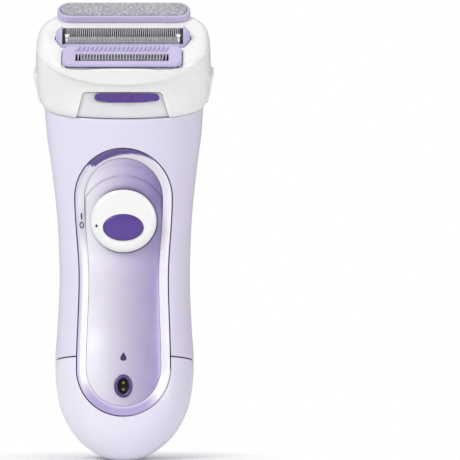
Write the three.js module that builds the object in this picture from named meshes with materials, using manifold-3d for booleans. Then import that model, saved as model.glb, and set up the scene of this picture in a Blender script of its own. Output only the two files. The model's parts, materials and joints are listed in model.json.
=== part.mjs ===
// Cordless lady shaver: foil, long-hair trimmer and exfoliating pad on a curved handle.
// Millimetres, +Z up, front towards -Y, standing on the flat of its bottom shell.
// Local frames on the spine have x to the right, v backwards and u along the spine.
import * as THREE from 'three';
import { mergeVertices } from 'three/addons/utils/BufferGeometryUtils.js';
import Module from 'manifold-3d';

const wasm = await Module();
wasm.setup();

// Handle
const HANDLE_L = 121.5;    // base to head joint
const HANDLE_W = 54.4;     // width at the head joint
const CELL_D = 14.5;       // each of the two cells side by side
const HANDLE_D = CELL_D + 22.3;  // depth at the head joint, round the cells
const BEND_R = 180;        // radius of the handle's curve
const WALL = 1.8;          // shell thickness
const SEAM_Z = 33.4;       // height of the bottom shell's seam
const WAIST_Z = 62;        // height where the spine is upright
// Head
const HEAD_W = HANDLE_W + 5;
const HEAD_D = HANDLE_D + 0.8;
const HEAD_RISE = 22.1;    // head joint to the middle of the face, upwards
const HEAD_TILT = 36;      // degrees that the face leans forwards
const HEAD_WALL = 1.7;
// Clearances
const FIT = 0.2;           // between pieces that stay together
const RUN = 0.4;           // between pieces that slide on each other
// Power switch
const SWITCH_Z = HANDLE_L - 38.2, SWITCH_W = 22.5, SWITCH_H = 21.6;
const SWITCH_RISE = 3.4;   // cap above the panel
const PAD_W = 13.7, PAD_H = 9.0;
const SWITCH_TRAVEL = 3.0;
// Front panel
const PANEL_TOP = HANDLE_L - 15.5, PANEL_LOW = 15.2;
const PANEL_W = SWITCH_W + 10.9, PANEL_WAIST_W = 30.6, PANEL_LOW_W = 32.2;
const BEZEL_W = 3.3;       // width of the sloping ring round the panel
const BEZEL_RIM = 1.1;     // its outer part, level with the handle
const RECESS = 2.2;        // panel below the handle's surface
const PANEL_T = 1.4;
// Charging socket
const SOCKET_Z = 23.2, SOCKET_W = 5.8, SOCKET_H = 7.5, SOCKET_RIM = 1.1;
// Power train
const CELL_L = 48.5, CELL_Z = SEAM_Z + 3.8;
const MOTOR_D = 20, MOTOR_L = 20, MOTOR_TOP = -5.6;
const CRANK = 0.9;         // eccentricity that swings the cutters
const PIN_R = 1.0;
const DRIVE_PIN_R = 1.2;
// Shaving parts, in the face's frame
const CASSETTE_W = 45.4, CASSETTE_D = 11, CASSETTE_H = 5;
const FOIL_W = CASSETTE_W - 4.8, FOIL_D = 8.4, FOIL_RISE = 2.4, FOIL_T = 0.4, FOIL_V = -0.7;
const GUARD_FLOAT = 0.8;   // travel of the trimmer into the head
const BLADE_SLOTS = 15;
const GUARD_W = 40.1, GUARD_FRONT = -18.3, GUARD_BACK = -7.2, GUARD_T = 1.5;
const COMB_W = 30.4, TEETH = 26, RIBS = 14;
const PAD_LONG = 43, PAD_DEEP = 6.9, PAD_FRAME = 1.2, PAD_V = 13.2, PAD_RISE = 3.1;
// Trimmer lock and release buttons
const NOTCH_TOP = HANDLE_L + 3.1, NOTCH_TOP_W = 26.4, NOTCH_LOW_W = 30.6;
const LOCK_W = 21.8, LOCK_H = 2.9, LOCK_X = 1.55, LOCK_DEPTH = 0.95;
const BUTTON_H = 10.6, BUTTON_D = 9;

const SIDES = 40;
const rad = THREE.MathUtils.degToRad;

// Handle sections: share of the length, of the width and of the depth.
const HANDLE_PROFILE = [
  [0.000, 0.190, 0.25], [0.010, 0.300, 0.38], [0.026, 0.421, 0.50], [0.055, 0.577, 0.655], [0.083, 0.678, 0.75],
  [0.109, 0.741, 0.81], [0.139, 0.800, 0.865], [0.195, 0.853, 0.91], [0.275, 0.873, 0.925],
  [0.363, 0.849, 0.902], [0.505, 0.823, 0.870], [0.590, 0.831, 0.875], [0.675, 0.849, 0.886],
  [0.740, 0.874, 0.905], [0.800, 0.904, 0.930], [0.850, 0.932, 0.954], [0.900, 0.963, 0.978],
  [1.000, 1.000, 1.000],
];
// Head sections: share of the rise, of the width and of the depth, and squareness.
const HEAD_PROFILE = [
  [0.015, 0.931, 1.015, 2.4], [0.085, 0.960, 1.025, 2.45], [0.20, 0.983, 1.02, 2.5],
  [0.34, 0.994, 1.005, 2.6], [0.60, 1.000, 1.000, 2.8], [0.79, 0.993, 0.998, 3.0],
  [0.90, 0.982, 0.992, 3.1], [0.965, 0.967, 0.980, 3.1], [1.0, 0.945, 0.962, 3.1],
];

// ---------- solids ----------
function toSolid(geometry) {
  const bare = geometry.index ? geometry.clone() : geometry;
  bare.deleteAttribute('normal');
  bare.deleteAttribute('uv');
  const merged = mergeVertices(bare, 1e-4);
  return new wasm.Manifold(new wasm.Mesh({
    numProp: 3,
    vertProperties: new Float32Array(merged.attributes.position.array),
    triVerts: new Uint32Array(merged.index.array),
  }));
}

function toGeometry(solid) {
  const mesh = solid.getMesh();
  const geometry = new THREE.BufferGeometry();
  geometry.setAttribute('position', new THREE.BufferAttribute(new Float32Array(mesh.vertProperties), 3));
  geometry.setIndex(new THREE.BufferAttribute(new Uint32Array(mesh.triVerts), 1));
  return geometry;
}

const cut = (base, ...tools) => tools.reduce((s, t) => s.subtract(toSolid(t)), base);

// A closed body through rings of equal count, each given anticlockwise seen from its end.
function loft(rings) {
  const n = rings[0].length;
  const points = rings.flat();
  const index = [];
  for (let r = 0; r < rings.length - 1; r++) {
    for (let k = 0; k < n; k++) {
      const a = r * n + k, b = r * n + (k + 1) % n;
      index.push(a, b, b + n, a, b + n, a + n);
    }
  }
  for (const [r, flip] of [[0, true], [rings.length - 1, false]]) {
    const centre = points.length;
    points.push(rings[r].reduce((s, p) => s.add(p), new THREE.Vector3()).divideScalar(n));
    for (let k = 0; k < n; k++) {
      const a = r * n + k, b = r * n + (k + 1) % n;
      index.push(centre, flip ? b : a, flip ? a : b);
    }
  }
  const geometry = new THREE.BufferGeometry().setFromPoints(points);
  geometry.setIndex(index);
  return geometry;
}

function sectionRing(place, halfW, halfD, power) {
  return Array.from({ length: SIDES }, (_, k) => {
    const t = (2 * Math.PI * k) / SIDES, c = Math.cos(t), s = Math.sin(t);
    const bend = (value) => Math.sign(value) * Math.abs(value) ** (2 / power);
    return new THREE.Vector3(halfW * bend(c), halfD * bend(s), 0).applyMatrix4(place);
  });
}

// The frame at one place of the spine.
function frameAt(y, z, tilt) {
  return new THREE.Matrix4().makeTranslation(0, y, z).multiply(new THREE.Matrix4().makeRotationX(tilt));
}

function spineTilt(z) {
  return Math.asin((z - WAIST_Z) / BEND_R);
}

function handleFrame(z) {
  const tilt = spineTilt(z);
  const level = Math.min(1, Math.max(0, z / SEAM_Z));
  return frameAt(-BEND_R * (1 - Math.cos(tilt)), z, tilt * level);
}

const JOINT_TILT = spineTilt(HANDLE_L);
const JOINT = handleFrame(HANDLE_L);
const HEAD_R = HEAD_RISE / (Math.sin(rad(HEAD_TILT)) - Math.sin(JOINT_TILT));

function headFrame(share) {
  const tilt = JOINT_TILT + (rad(HEAD_TILT) - JOINT_TILT) * share;
  const y = -BEND_R * (1 - Math.cos(JOINT_TILT)) + HEAD_R * (Math.cos(tilt) - Math.cos(JOINT_TILT));
  return frameAt(y, HANDLE_L + HEAD_R * (Math.sin(tilt) - Math.sin(JOINT_TILT)), tilt);
}

const FACE = headFrame(1);

function between(table, share) {
  const last = table.length - 1;
  if (share <= table[0][0]) return table[0];
  if (share >= table[last][0]) return table[last];
  const k = table.findIndex((row) => row[0] > share);
  const mix = (share - table[k - 1][0]) / (table[k][0] - table[k - 1][0]);
  return table[k].map((value, i) => THREE.MathUtils.lerp(table[k - 1][i], value, mix));
}

function handleRing(z, inset) {
  const [, w, d] = between(HANDLE_PROFILE, z / HANDLE_L);
  return sectionRing(handleFrame(z), (w * HANDLE_W) / 2 - inset, (d * HANDLE_D) / 2 - inset, 2.4);
}

// The handle's shape between two heights, taken in by inset.
function handleLoft(low, high, inset = 0) {
  const levels = HANDLE_PROFILE.map((row) => row[0] * HANDLE_L).filter((z) => z > low + 0.8 && z < high - 0.8);
  return loft([low, ...levels, high].map((z) => handleRing(z, inset)));
}

function headLoft(low, high, inset = 0) {
  const levels = HEAD_PROFILE.map((row) => row[0]).filter((s) => s > low + 0.005 && s < high - 0.005);
  return loft([low, ...levels, high].map((share) => {
    const [, w, d, power] = between(HEAD_PROFILE, share);
    return sectionRing(headFrame(share), (w * HEAD_W) / 2 - inset, (d * HEAD_D) / 2 - inset, power);
  }));
}

function box(x, v, u, place) {
  const geometry = new THREE.BoxGeometry(x[1] - x[0], v[1] - v[0], u[1] - u[0]);
  geometry.translate((x[0] + x[1]) / 2, (v[0] + v[1]) / 2, (u[0] + u[1]) / 2);
  return place ? geometry.applyMatrix4(place) : geometry;
}

// A turned body about u, from [radius, height] pairs that start and end on the axis.
function turned(pairs, sides, place) {
  const geometry = new THREE.LatheGeometry(pairs.map(([r, h]) => new THREE.Vector2(r, h)), sides);
  geometry.rotateX(Math.PI / 2);
  return place ? geometry.applyMatrix4(place) : geometry;
}

const rod = (r, low, high, sides, place) => turned([[0, low], [r, low], [r, high], [0, high]], sides, place);
const at = (frame, x, v, u) => frame.clone().multiply(new THREE.Matrix4().makeTranslation(x, v, u));
const facing = (frame) => frame.clone().multiply(new THREE.Matrix4().makeRotationX(Math.PI / 2));

// An outline given in (x, z), pushed through the front from yBack towards -Y.
function pushFront(outline, yBack = -3, depth = 60) {
  const shape = new THREE.Shape(outline.map(([x, z]) => new THREE.Vector2(x, z)));
  const geometry = new THREE.ExtrudeGeometry(shape, { depth, bevelEnabled: false });
  const turn = new THREE.Matrix4().makeBasis(
    new THREE.Vector3(1, 0, 0), new THREE.Vector3(0, 0, 1), new THREE.Vector3(0, -1, 0));
  return geometry.applyMatrix4(turn).translate(0, yBack, 0);
}

// An outline given in (v, u), pushed along x.
function pushAcross(outline, x, place) {
  const shape = new THREE.Shape(outline.map(([v, u]) => new THREE.Vector2(v, u)));
  const geometry = new THREE.ExtrudeGeometry(shape, { depth: x[1] - x[0], bevelEnabled: false });
  const turn = new THREE.Matrix4().makeBasis(
    new THREE.Vector3(0, 1, 0), new THREE.Vector3(0, 0, 1), new THREE.Vector3(1, 0, 0));
  geometry.applyMatrix4(turn).translate(x[0], 0, 0);
  return place ? geometry.applyMatrix4(place) : geometry;
}

// An outline given in (x, v), pushed along u.
function pushUp(outline, u, place) {
  const shape = new THREE.Shape(outline.map(([x, v]) => new THREE.Vector2(x, v)));
  const geometry = new THREE.ExtrudeGeometry(shape, { depth: u[1] - u[0], bevelEnabled: false });
  geometry.translate(0, 0, u[0]);
  return place ? geometry.applyMatrix4(place) : geometry;
}

// A flat oval with straight sides: length along x, width along v.
function stadium(length, width, steps = 8) {
  const r = width / 2, half = length / 2 - r;
  const arc = (x, from) => Array.from({ length: steps + 1 }, (_, k) => {
    const t = from + (Math.PI * k) / steps;
    return [x + r * Math.cos(t), r * Math.sin(t)];
  });
  return [...arc(half, -Math.PI / 2), ...arc(-half, Math.PI / 2)];
}

// ---------- materials ----------
const plastic = (color, roughness = 0.4) => new THREE.MeshStandardMaterial({ color, roughness });
const metal = (color, roughness = 0.35) => new THREE.MeshStandardMaterial({ color, roughness, metalness: 1 });
const lilac = plastic('#d3cfe4', 0.42), paleLilac = plastic('#dedaea', 0.4), white = plastic('#f1f0f0', 0.3);
const trimLilac = plastic('#c0b6dc', 0.35), panelLilac = plastic('#b3a6cb', 0.25);
const purple = plastic('#5b389b', 0.35), plum = plastic('#4b2f6e', 0.35), black = plastic('#17151b', 0.5);
const grey = plastic('#9b9a9e', 0.95), boardGreen = plastic('#24573a', 0.6), rubber = plastic('#2a2930', 0.9);
const steel = metal('#c9c9cc', 0.3), brushed = metal('#a9abb0', 0.4), brass = metal('#c9a44c', 0.35);
const cellSkin = plastic('#5d7f52', 0.45);

const shaver = new THREE.Group();
function add(name, shape, material) {
  const geometry = shape.isBufferGeometry ? shape : toGeometry(shape);
  const mesh = new THREE.Mesh(geometry, material);
  mesh.name = name;
  shaver.add(mesh);
}
const both = (make) => [['left', -1], ['right', 1]].forEach(([side, sign]) => make(side, sign));

// ---------- handle shells ----------
// The front panel's outline: round top, slim waist, round bottom.
function panelOutline(inset = 0) {
  const top = PANEL_TOP - PANEL_W / 2, low = PANEL_LOW + PANEL_LOW_W / 2, waist = WAIST_Z;
  const halfWidth = (z) => {
    const far = z > waist ? [PANEL_W, top] : [PANEL_LOW_W, low];
    const share = THREE.MathUtils.smoothstep(Math.abs(z - waist), 0, Math.abs(far[1] - waist));
    return THREE.MathUtils.lerp(PANEL_WAIST_W, far[0], share) / 2 - inset;
  };
  const steps = 12, right = [];
  for (let k = 0; k < 8; k++) right.push([halfWidth(low + ((top - low) * k) / 8), low + ((top - low) * k) / 8]);
  const arc = (z, r, from) => Array.from({ length: steps + 1 }, (_, k) => {
    const t = from + (Math.PI * k) / steps;
    return [r * Math.cos(t), z + r * Math.sin(t)];
  });
  const left = right.slice(1).reverse().map(([x, z]) => [-x, z]);
  const crown = arc(top, PANEL_W / 2 - inset, 0);
  const foot = arc(low, PANEL_LOW_W / 2 - inset, Math.PI).slice(0, -1);
  return [...right, ...crown, ...left, ...foot];
}

function frontRegion(offset) {
  const steps = 12, edge = [];
  for (let k = 0; k <= steps; k++) {
    const z = SEAM_Z - 6 + ((HANDLE_L + 12 - SEAM_Z) * k) / steps;
    edge.push([-BEND_R * (1 - Math.cos(spineTilt(z))) + offset, z]);
  }
  return pushAcross([...edge.reverse(), [-70, edge[edge.length - 1][1]], [-70, edge[0][1]]].reverse(), [-60, 60]);
}

function makeShells() {
  const opening = pushFront(panelOutline(-FIT / 2));
  const tube = cut(toSolid(handleLoft(SEAM_Z, HANDLE_L)), handleLoft(SEAM_Z - 4, HANDLE_L + 4, WALL));
  add('front_housing', cut(tube.intersect(toSolid(frontRegion(-FIT / 2))), opening), lilac);
  add('rear_housing', cut(tube, frontRegion(FIT / 2)), lilac);
  const cup = toSolid(handleLoft(0, SEAM_Z - 2 * FIT));
  add('bottom_shell', cut(cup, handleLoft(WALL, SEAM_Z + 4, WALL), opening), paleLilac);
  const gasket = toSolid(handleLoft(SEAM_Z - 1.6 * FIT, SEAM_Z - 0.4 * FIT, 0.5));
  add('seam_gasket', cut(gasket, handleLoft(SEAM_Z - 4, SEAM_Z + 4, WALL - 0.1), opening), rubber);
}

// ---------- front panel, switch and socket ----------
function makePanel() {
  const reach = [PANEL_LOW - 6, PANEL_TOP + 12];
  const ring = (outer, inner, inset) => toSolid(handleLoft(...reach, inset))
    .intersect(toSolid(pushFront(panelOutline(outer)))).subtract(toSolid(pushFront(panelOutline(inner))));
  const rim = ring(FIT / 2, BEZEL_W, RECESS / 2).add(ring(FIT / 2, BEZEL_RIM, FIT / 2));
  add('panel_bezel', cut(rim, handleLoft(...reach, RECESS + PANEL_T)), trimLilac);

  const sheet = toSolid(handleLoft(...reach, RECESS)).subtract(toSolid(handleLoft(...reach, RECESS + PANEL_T)));
  const panel = sheet.intersect(toSolid(pushFront(panelOutline(BEZEL_W + FIT))));
  const slot = box([-3 - RUN, 3 + RUN], [-30, -5], [-5 - RUN, 5 + RUN + SWITCH_TRAVEL], handleFrame(SWITCH_Z));
  const hole = pushSocket(SOCKET_W + 2 * FIT, SOCKET_H + 2 * FIT, -30, -8);
  add('front_panel', cut(panel, slot, hole), panelLilac);
}

function ovalTurned(pairs, w, h, sides, place) {
  const geometry = turned(pairs, sides);
  geometry.scale(w / 2, h / 2, 1);
  return geometry.applyMatrix4(facing(place));
}

function handleHalfDepth(z) {
  return (between(HANDLE_PROFILE, z / HANDLE_L)[2] * HANDLE_D) / 2;
}

function makeSwitch() {
  const place = handleFrame(SWITCH_Z);
  const floor = handleHalfDepth(SWITCH_Z) - RECESS;
  const crown = floor + SWITCH_RISE;
  const cap = ovalTurned([[0, floor - 3], [1, floor - 3], [1, crown - 1.6], [0.96, crown - 0.9], [0.86, crown - 0.45],
    [0.5, crown - 0.1], [0, crown]], SWITCH_W, SWITCH_H, 36, place);
  const stemBack = 10.6;
  const stem = box([-3, 3], [-floor - 1, -stemBack], [-5, 5], place);
  const pocket = ovalTurned([[0, crown - 1.1], [1, crown - 1.1], [1, crown + 2], [0, crown + 2]],
    PAD_W + FIT, PAD_H + FIT, 28, at(place, 0, 0, -2.1));
  const below = handleLoft(SWITCH_Z - 20, SWITCH_Z + 20, RECESS - 1.5 * RUN);
  const slider = toSolid(cap).subtract(toSolid(below)).add(toSolid(stem));
  add('switch_slider', cut(slider, pocket), white);
  const pad = ovalTurned([[0, crown - 1.0], [1, crown - 1.0], [1, crown - 0.25], [0.9, crown], [0, crown + 0.25]],
    PAD_W, PAD_H, 28, at(place, 0, 0, -2.1));
  add('switch_pad', pad, purple);
}

function pushSocket(w, h, low, high) {
  return ovalTurned([[0, -high], [1, -high], [1, -low], [0, -low]], w, h, 24, handleFrame(SOCKET_Z));
}

function makeSocket() {
  const floor = handleHalfDepth(SOCKET_Z) - RECESS;
  const inner = [SOCKET_W - 2 * SOCKET_RIM, SOCKET_H - 2 * SOCKET_RIM];
  const rim = toSolid(pushSocket(SOCKET_W, SOCKET_H, -floor - 0.7, -floor + 6));
  add('socket_bezel', cut(rim, pushSocket(...inner, -30, 0)), plum);
  add('socket_insulator', pushSocket(inner[0] - FIT, inner[1] - FIT, -floor + 2.4, -floor + 6), black);
  [['upper', 1.15], ['lower', -1.15]].forEach(([where, u]) => {
    const place = facing(at(handleFrame(SOCKET_Z), 0, 0, u));
    add(`socket_pin_${where}`, rod(0.45, floor - 2.35, floor - 0.3, 10, place), brass);
  });
}

// ---------- power train ----------
function makePower() {
  const top = CELL_Z + CELL_L, back = 1 + CELL_D / 2, spread = CELL_D / 2 + 0.7;
  both((side, sign) => {
    const place = frameAt(1, 0, 0);
    const cell = turned([[0, CELL_Z], [CELL_D / 2, CELL_Z], [CELL_D / 2, top - 1.2], [2.6, top - 1.2],
      [2.6, top], [0, top]], 20, at(place, sign * spread, 0, 0));
    add(`cell_${side}`, cell, cellSkin);
    add(`cell_contact_${side}`, rod(3.4, top + 0.1, top + 0.6, 12, at(place, sign * spread, 0, 0)), brass);
  });
  add('cell_bridge', box([-spread - 4, spread + 4], [-2.5, 4.5], [CELL_Z - 0.6, CELL_Z - 0.1]), brass);
  const low = CELL_Z - 0.7, high = top + 0.7;
  const rack = pushAcross([[back + 0.3, low - 1.4], [back + 1.9, low - 1.4], [back + 1.9, high + 1.4],
    [-4, high + 1.4], [-4, high], [back + 0.3, high], [back + 0.3, low], [-4, low], [-4, low - 1.4]],
    [-spread - 4, spread + 4]);
  add('cell_rack', rack, white);

  const board = [-9.6, -8.2];
  add('circuit_board', box([-12.5, 12.5], board, [CELL_Z + 6, SWITCH_Z + 3.2]), boardGreen);
  const face = handleFrame(SWITCH_Z);
  const stemEnd = new THREE.Vector3(0, -10.6, -5).applyMatrix4(face);
  add('micro_switch', box([-4, 4], [stemEnd.y + RUN, board[0] - 0.05],
    [SWITCH_Z - 6, SWITCH_Z + 2.7]), black);
}

function makeMotor() {
  const low = MOTOR_TOP - MOTOR_L, r = MOTOR_D / 2;
  add('motor_can', turned([[0, low], [r, low], [r, MOTOR_TOP - 0.8], [r - 0.8, MOTOR_TOP], [0, MOTOR_TOP]],
    24, JOINT), brushed);
  add('motor_end_cap', rod(r - 1, low - 2.3, low - 0.1, 20, JOINT), black);

  const deckLow = HANDLE_L - 4.6, deckHigh = HANDLE_L - 2.8;
  const deck = toSolid(handleLoft(deckLow, deckHigh, WALL + FIT));
  const screwX = r + 3.5;
  const holes = [-1, 1].map((sign) => rod(1.3, -8, 2, 12, at(JOINT, sign * screwX, 0, 0)));
  add('motor_deck', cut(deck, rod(3, -8, 2, 16, JOINT), ...holes), white);
  both((side, sign) => add(`deck_screw_${side}`, turned([[0, -7.5], [1.0, -7.5], [1.0, -2.2], [2.0, -2.2],
    [2.0, -1.2], [0, -1.2]], 12, at(JOINT, sign * screwX, 0, 0)), steel));

  add('motor_shaft', rod(PIN_R, MOTOR_TOP + 0.1, -1.55, 12, JOINT), steel);
  add('crank_disc', rod(4.2, -1.5, 0.9, 20, JOINT), brass);
  add('crank_pin', rod(PIN_R, 0.95, 3.7, 12, at(JOINT, 0, CRANK, 0)), steel);

  const plate = box([-9, 9], [-6.5, 5], [2.2, 4.0], JOINT);
  const slotX = PIN_R + 2 * CRANK + RUN / 2, slotV = PIN_R + CRANK + RUN;
  add('swing_bridge', cut(toSolid(plate), box([-slotX, slotX], [-slotV, slotV], [0, 6], JOINT)), white);
}

// The drive pin's tip sits in the cutter block; its foot is on the bridge.
const PIN_TIP = new THREE.Vector3(0, FOIL_V, -4).applyMatrix4(FACE).applyMatrix4(JOINT.clone().invert());

function makeNeck() {
  const place = at(JOINT, 0, PIN_TIP.y, 0);
  add('drive_pin', turned([[0, 4.05], [2.2, 4.05], [2.2, 5.5], [DRIVE_PIN_R, 8], [DRIVE_PIN_R, PIN_TIP.z - 0.4],
    [DRIVE_PIN_R - 0.4, PIN_TIP.z], [0, PIN_TIP.z]], 14, place), steel);

  const halfW = HANDLE_W / 2 - WALL - 1.5 * RUN, halfD = HANDLE_D / 2 - WALL - 1.5 * RUN;
  const tier = (u, inset) => sectionRing(at(JOINT, 0, 0, u), halfW - inset, halfD - inset, 2.4);
  const plug = toSolid(loft([tier(-2.6, 0), tier(8.2, 0), tier(9, 0.8)]));
  const hollow = loft([tier(-4, 1.5), tier(7.4, 1.5)]);
  add('neck_collar', cut(plug, hollow, rod(4.4, 6, 12, 20, place)), white);
  const hole = DRIVE_PIN_R + CRANK + RUN;
  add('drive_seal', turned([[hole, 9.1], [6.4, 9.1], [6.4, 10.1], [5, 10.3], [4.6, 11], [3.8, 11], [3.4, 11.8],
    [hole, 11.8], [hole, 9.1]], 20, place), rubber);
}

// ---------- head ----------
// Trapezium in (x, z) that is open at the bottom.
function notchOutline(gap) {
  const low = NOTCH_TOP - 12, slope = (NOTCH_LOW_W - NOTCH_TOP_W) / 2 / 7.4;
  const top = NOTCH_TOP_W / 2 + gap, side = top + slope * 12;
  return [[-side, low], [side, low], [top, NOTCH_TOP - 0.5 + gap], [top - 0.5, NOTCH_TOP + gap],
    [0.5 - top, NOTCH_TOP + gap], [-top, NOTCH_TOP - 0.5 + gap]];
}

const BUTTON_PLACE = headFrame(0.27);
const FLOOR_SHARE = 0.62;
function buttonBlock(sign, grow, reach) {
  const x = sign > 0 ? reach : [-reach[1], -reach[0]];
  return box(x, [-BUTTON_D / 2 - grow, BUTTON_D / 2 + grow], [-BUTTON_H / 2 - grow, BUTTON_H / 2 + grow], BUTTON_PLACE);
}

function makeHeadShell() {
  const shell = cut(toSolid(headLoft(0.015, 1)), headLoft(-0.1, 0.93, HEAD_WALL));
  const cassette = box([-CASSETTE_W / 2 - RUN, CASSETTE_W / 2 + RUN],
    [FOIL_V - CASSETTE_D / 2 - RUN, FOIL_V + CASSETTE_D / 2 + RUN], [-8, 6], FACE);
  const guardHole = box([-GUARD_W / 2 + 1, GUARD_W / 2 - 1], [GUARD_FRONT + 1.3, FOIL_V], [-8, 6], FACE);
  const sink = box([-GUARD_W / 2 - RUN, GUARD_W / 2 + RUN], [-30, FOIL_V], [-GUARD_FLOAT - RUN, 6], FACE);
  const slots = [-1, 1].map((sign) => buttonBlock(sign, RUN, [24, 40]));
  add('head_shell', cut(shell, cassette, guardHole, sink, pushFront(notchOutline(0)), ...slots), white);

  both((side, sign) => {
    const outer = box([22, 34], [-BUTTON_D / 2, BUTTON_D / 2], [-BUTTON_H / 2, BUTTON_H / 2], BUTTON_PLACE);
    const bulge = pushAcrossFront([[22, -6], [HEAD_W / 2 - 1.1, -6], [HEAD_W / 2 + 0.4, BUTTON_H / 2 - 2.4],
      [HEAD_W / 2 + 1.0, BUTTON_H / 2 - 1.2], [HEAD_W / 2 + 0.7, BUTTON_H / 2 + 1], [22, BUTTON_H / 2 + 1]]);
    const body = cut(toSolid(outer).intersect(toSolid(bulge)), headLoft(-0.3, 0.93, HEAD_WALL + 0.4));
    const rim = cut(toSolid(headLoft(0.06, 0.9, HEAD_WALL + 0.25)), headLoft(-0.1, 0.93, HEAD_WALL + 0.85));
    const flange = rim.intersect(toSolid(buttonBlock(1, 1.2, [20, 40])));
    const button = toGeometry(body.add(flange));
    if (sign < 0) mirrorX(button);
    add(`release_button_${side}`, button, white);
  });
}

function mirrorX(geometry) {
  geometry.scale(-1, 1, 1);
  const index = geometry.index.array;
  for (let k = 0; k < index.length; k += 3) [index[k + 1], index[k + 2]] = [index[k + 2], index[k + 1]];
}

// An outline in (x, u) of the button's frame, pushed through its whole depth.
function pushAcrossFront(outline) {
  const shape = new THREE.Shape(outline.map(([x, u]) => new THREE.Vector2(x, u)));
  const geometry = new THREE.ExtrudeGeometry(shape, { depth: 20, bevelEnabled: false });
  const turn = new THREE.Matrix4().makeBasis(
    new THREE.Vector3(1, 0, 0), new THREE.Vector3(0, 0, 1), new THREE.Vector3(0, -1, 0));
  return geometry.applyMatrix4(turn).translate(0, 10, 0).applyMatrix4(BUTTON_PLACE);
}

// The frame on the head's front surface at a height, x to the right and v into the head.
function frontPlace(z) {
  const front = (share) => new THREE.Vector3(0, -(between(HEAD_PROFILE, share)[2] * HEAD_D) / 2, 0)
    .applyMatrix4(headFrame(share));
  let low = 0, high = 1;
  for (let k = 0; k < 24; k++) {
    const middle = (low + high) / 2;
    if (front(middle).z < z) low = middle; else high = middle;
  }
  const below = front(low - 0.08), above = front(low + 0.08);
  return frameAt(front(low).y, z, Math.atan2(below.y - above.y, above.z - below.z));
}

function makeHeadBase() {
  const place = frontPlace(NOTCH_TOP - 0.6 - LOCK_H / 2);
  const skin = cut(toSolid(headLoft(0.03, 0.5, 0.7)), headLoft(-0.1, 0.6, HEAD_WALL + 1.0));
  const pad = skin.intersect(toSolid(pushFront(notchOutline(-RUN))));
  const inner = cut(toSolid(headLoft(0.03, 0.5, HEAD_WALL + 0.25)), headLoft(-0.1, 0.6, HEAD_WALL + 1.0));
  const apron = inner.intersect(toSolid(pushFront([[-17, 110], [17, 110], [17, 130], [-17, 130]])));
  const half = LOCK_H / 2;
  const groove = box([-NOTCH_TOP_W, NOTCH_TOP_W], [-6, LOCK_DEPTH + 0.75 * RUN], [-half - RUN, half + 6], place);
  add('head_base', cut(pad.add(apron), groove), white);

  const bar = (x, grow) => toSolid(headLoft(0.02, 0.6, -grow)).intersect(
    toSolid(box(x, [-6, LOCK_DEPTH], [-half, half], place)));
  const strip = bar([LOCK_X - LOCK_W / 2, LOCK_X + LOCK_W / 2], 0.25);
  add('trimmer_lock', strip.add(bar([LOCK_X - 1.4, LOCK_X + 1.4], 0.9)), purple);

  const floor = cut(toSolid(headLoft(FLOOR_SHARE - 0.06, FLOOR_SHARE, HEAD_WALL + FIT)),
    box([0.8 - FOIL_W / 2, FOIL_W / 2 - 0.8], [-14, 6], [-20, 2], FACE));
  add('head_floor', floor, white);
}

// ---------- shaving parts ----------
// The foil's arch in (v, u), from the front foot over the crown to the back foot.
function arch(halfDepth, rise, base, steps = 10) {
  return Array.from({ length: steps + 1 }, (_, k) => {
    const t = Math.PI - (Math.PI * k) / steps;
    return [FOIL_V + halfDepth * Math.cos(t), base + rise * Math.sin(t)];
  });
}

function makeFoil() {
  const halfW = CASSETTE_W / 2, halfD = CASSETTE_D / 2, top = 0.4;
  const frame = box([-halfW, halfW], [FOIL_V - halfD, FOIL_V + halfD], [top - CASSETTE_H, top], FACE);
  const well = box([-FOIL_W / 2 + 0.6, FOIL_W / 2 - 0.6], [FOIL_V - halfD + 1.4, FOIL_V + halfD - 1.4],
    [-CASSETTE_H - 2, 2], FACE);
  add('foil_frame', cut(toSolid(frame), well), trimLilac);
  const strip = [...arch(FOIL_D / 2, FOIL_RISE, top + 0.05), ...arch(FOIL_D / 2 - FOIL_T, FOIL_RISE - FOIL_T, top + 0.05).reverse()];
  add('foil', pushAcross(strip.reverse(), [-FOIL_W / 2, FOIL_W / 2], FACE), steel);
  both((side, sign) => {
    const rings = [[FOIL_W / 2 + 0.1, 1, 0.6], [halfW - 1.1, 0.62, 0.2], [halfW - 0.1, 0.3, -0.5]].map(([x, share, more]) => {
      const outline = arch((FOIL_D / 2 + 0.9) * share, FOIL_RISE + more, top + 0.05);
      return outline.map(([v, u]) => new THREE.Vector3(sign * x, v, u).applyMatrix4(FACE));
    });
    if (sign > 0) rings.forEach((ring) => ring.reverse());
    add(`foil_end_${side}`, loft(rings), trimLilac);
  });
  const springX = (FOIL_W / 2 + halfW) / 2 - 0.2;
  const toFloor = headFrame(FLOOR_SHARE).invert().multiply(FACE);
  const [from, to] = [0, 1].map((u) => new THREE.Vector3(0, FOIL_V, u).applyMatrix4(toFloor).z);
  const springLow = from / (from - to) + 0.1;
  both((side, sign) => add(`foil_spring_${side}`, coil(1.1, 0.25, top - CASSETTE_H - 0.1, springLow,
    at(FACE, sign * springX, FOIL_V, 0)), steel));
}

// A round-wire spring that hangs down from one height to another.
function coil(r, wire, high, low, place) {
  const turns = 3.5, steps = 30;
  class Helix extends THREE.Curve {
    getPoint(t, out = new THREE.Vector3()) {
      const a = 2 * Math.PI * turns * t;
      return out.set(r * Math.cos(a), r * Math.sin(a), high - wire + (low - high + 2 * wire) * t);
    }
  }
  const dot = new THREE.Shape(Array.from({ length: 5 }, (_, k) => new THREE.Vector2(
    wire * Math.cos((2 * Math.PI * k) / 5), wire * Math.sin((2 * Math.PI * k) / 5))));
  const geometry = new THREE.ExtrudeGeometry(dot, { steps, extrudePath: new Helix() });
  return geometry.applyMatrix4(place);
}

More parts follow.
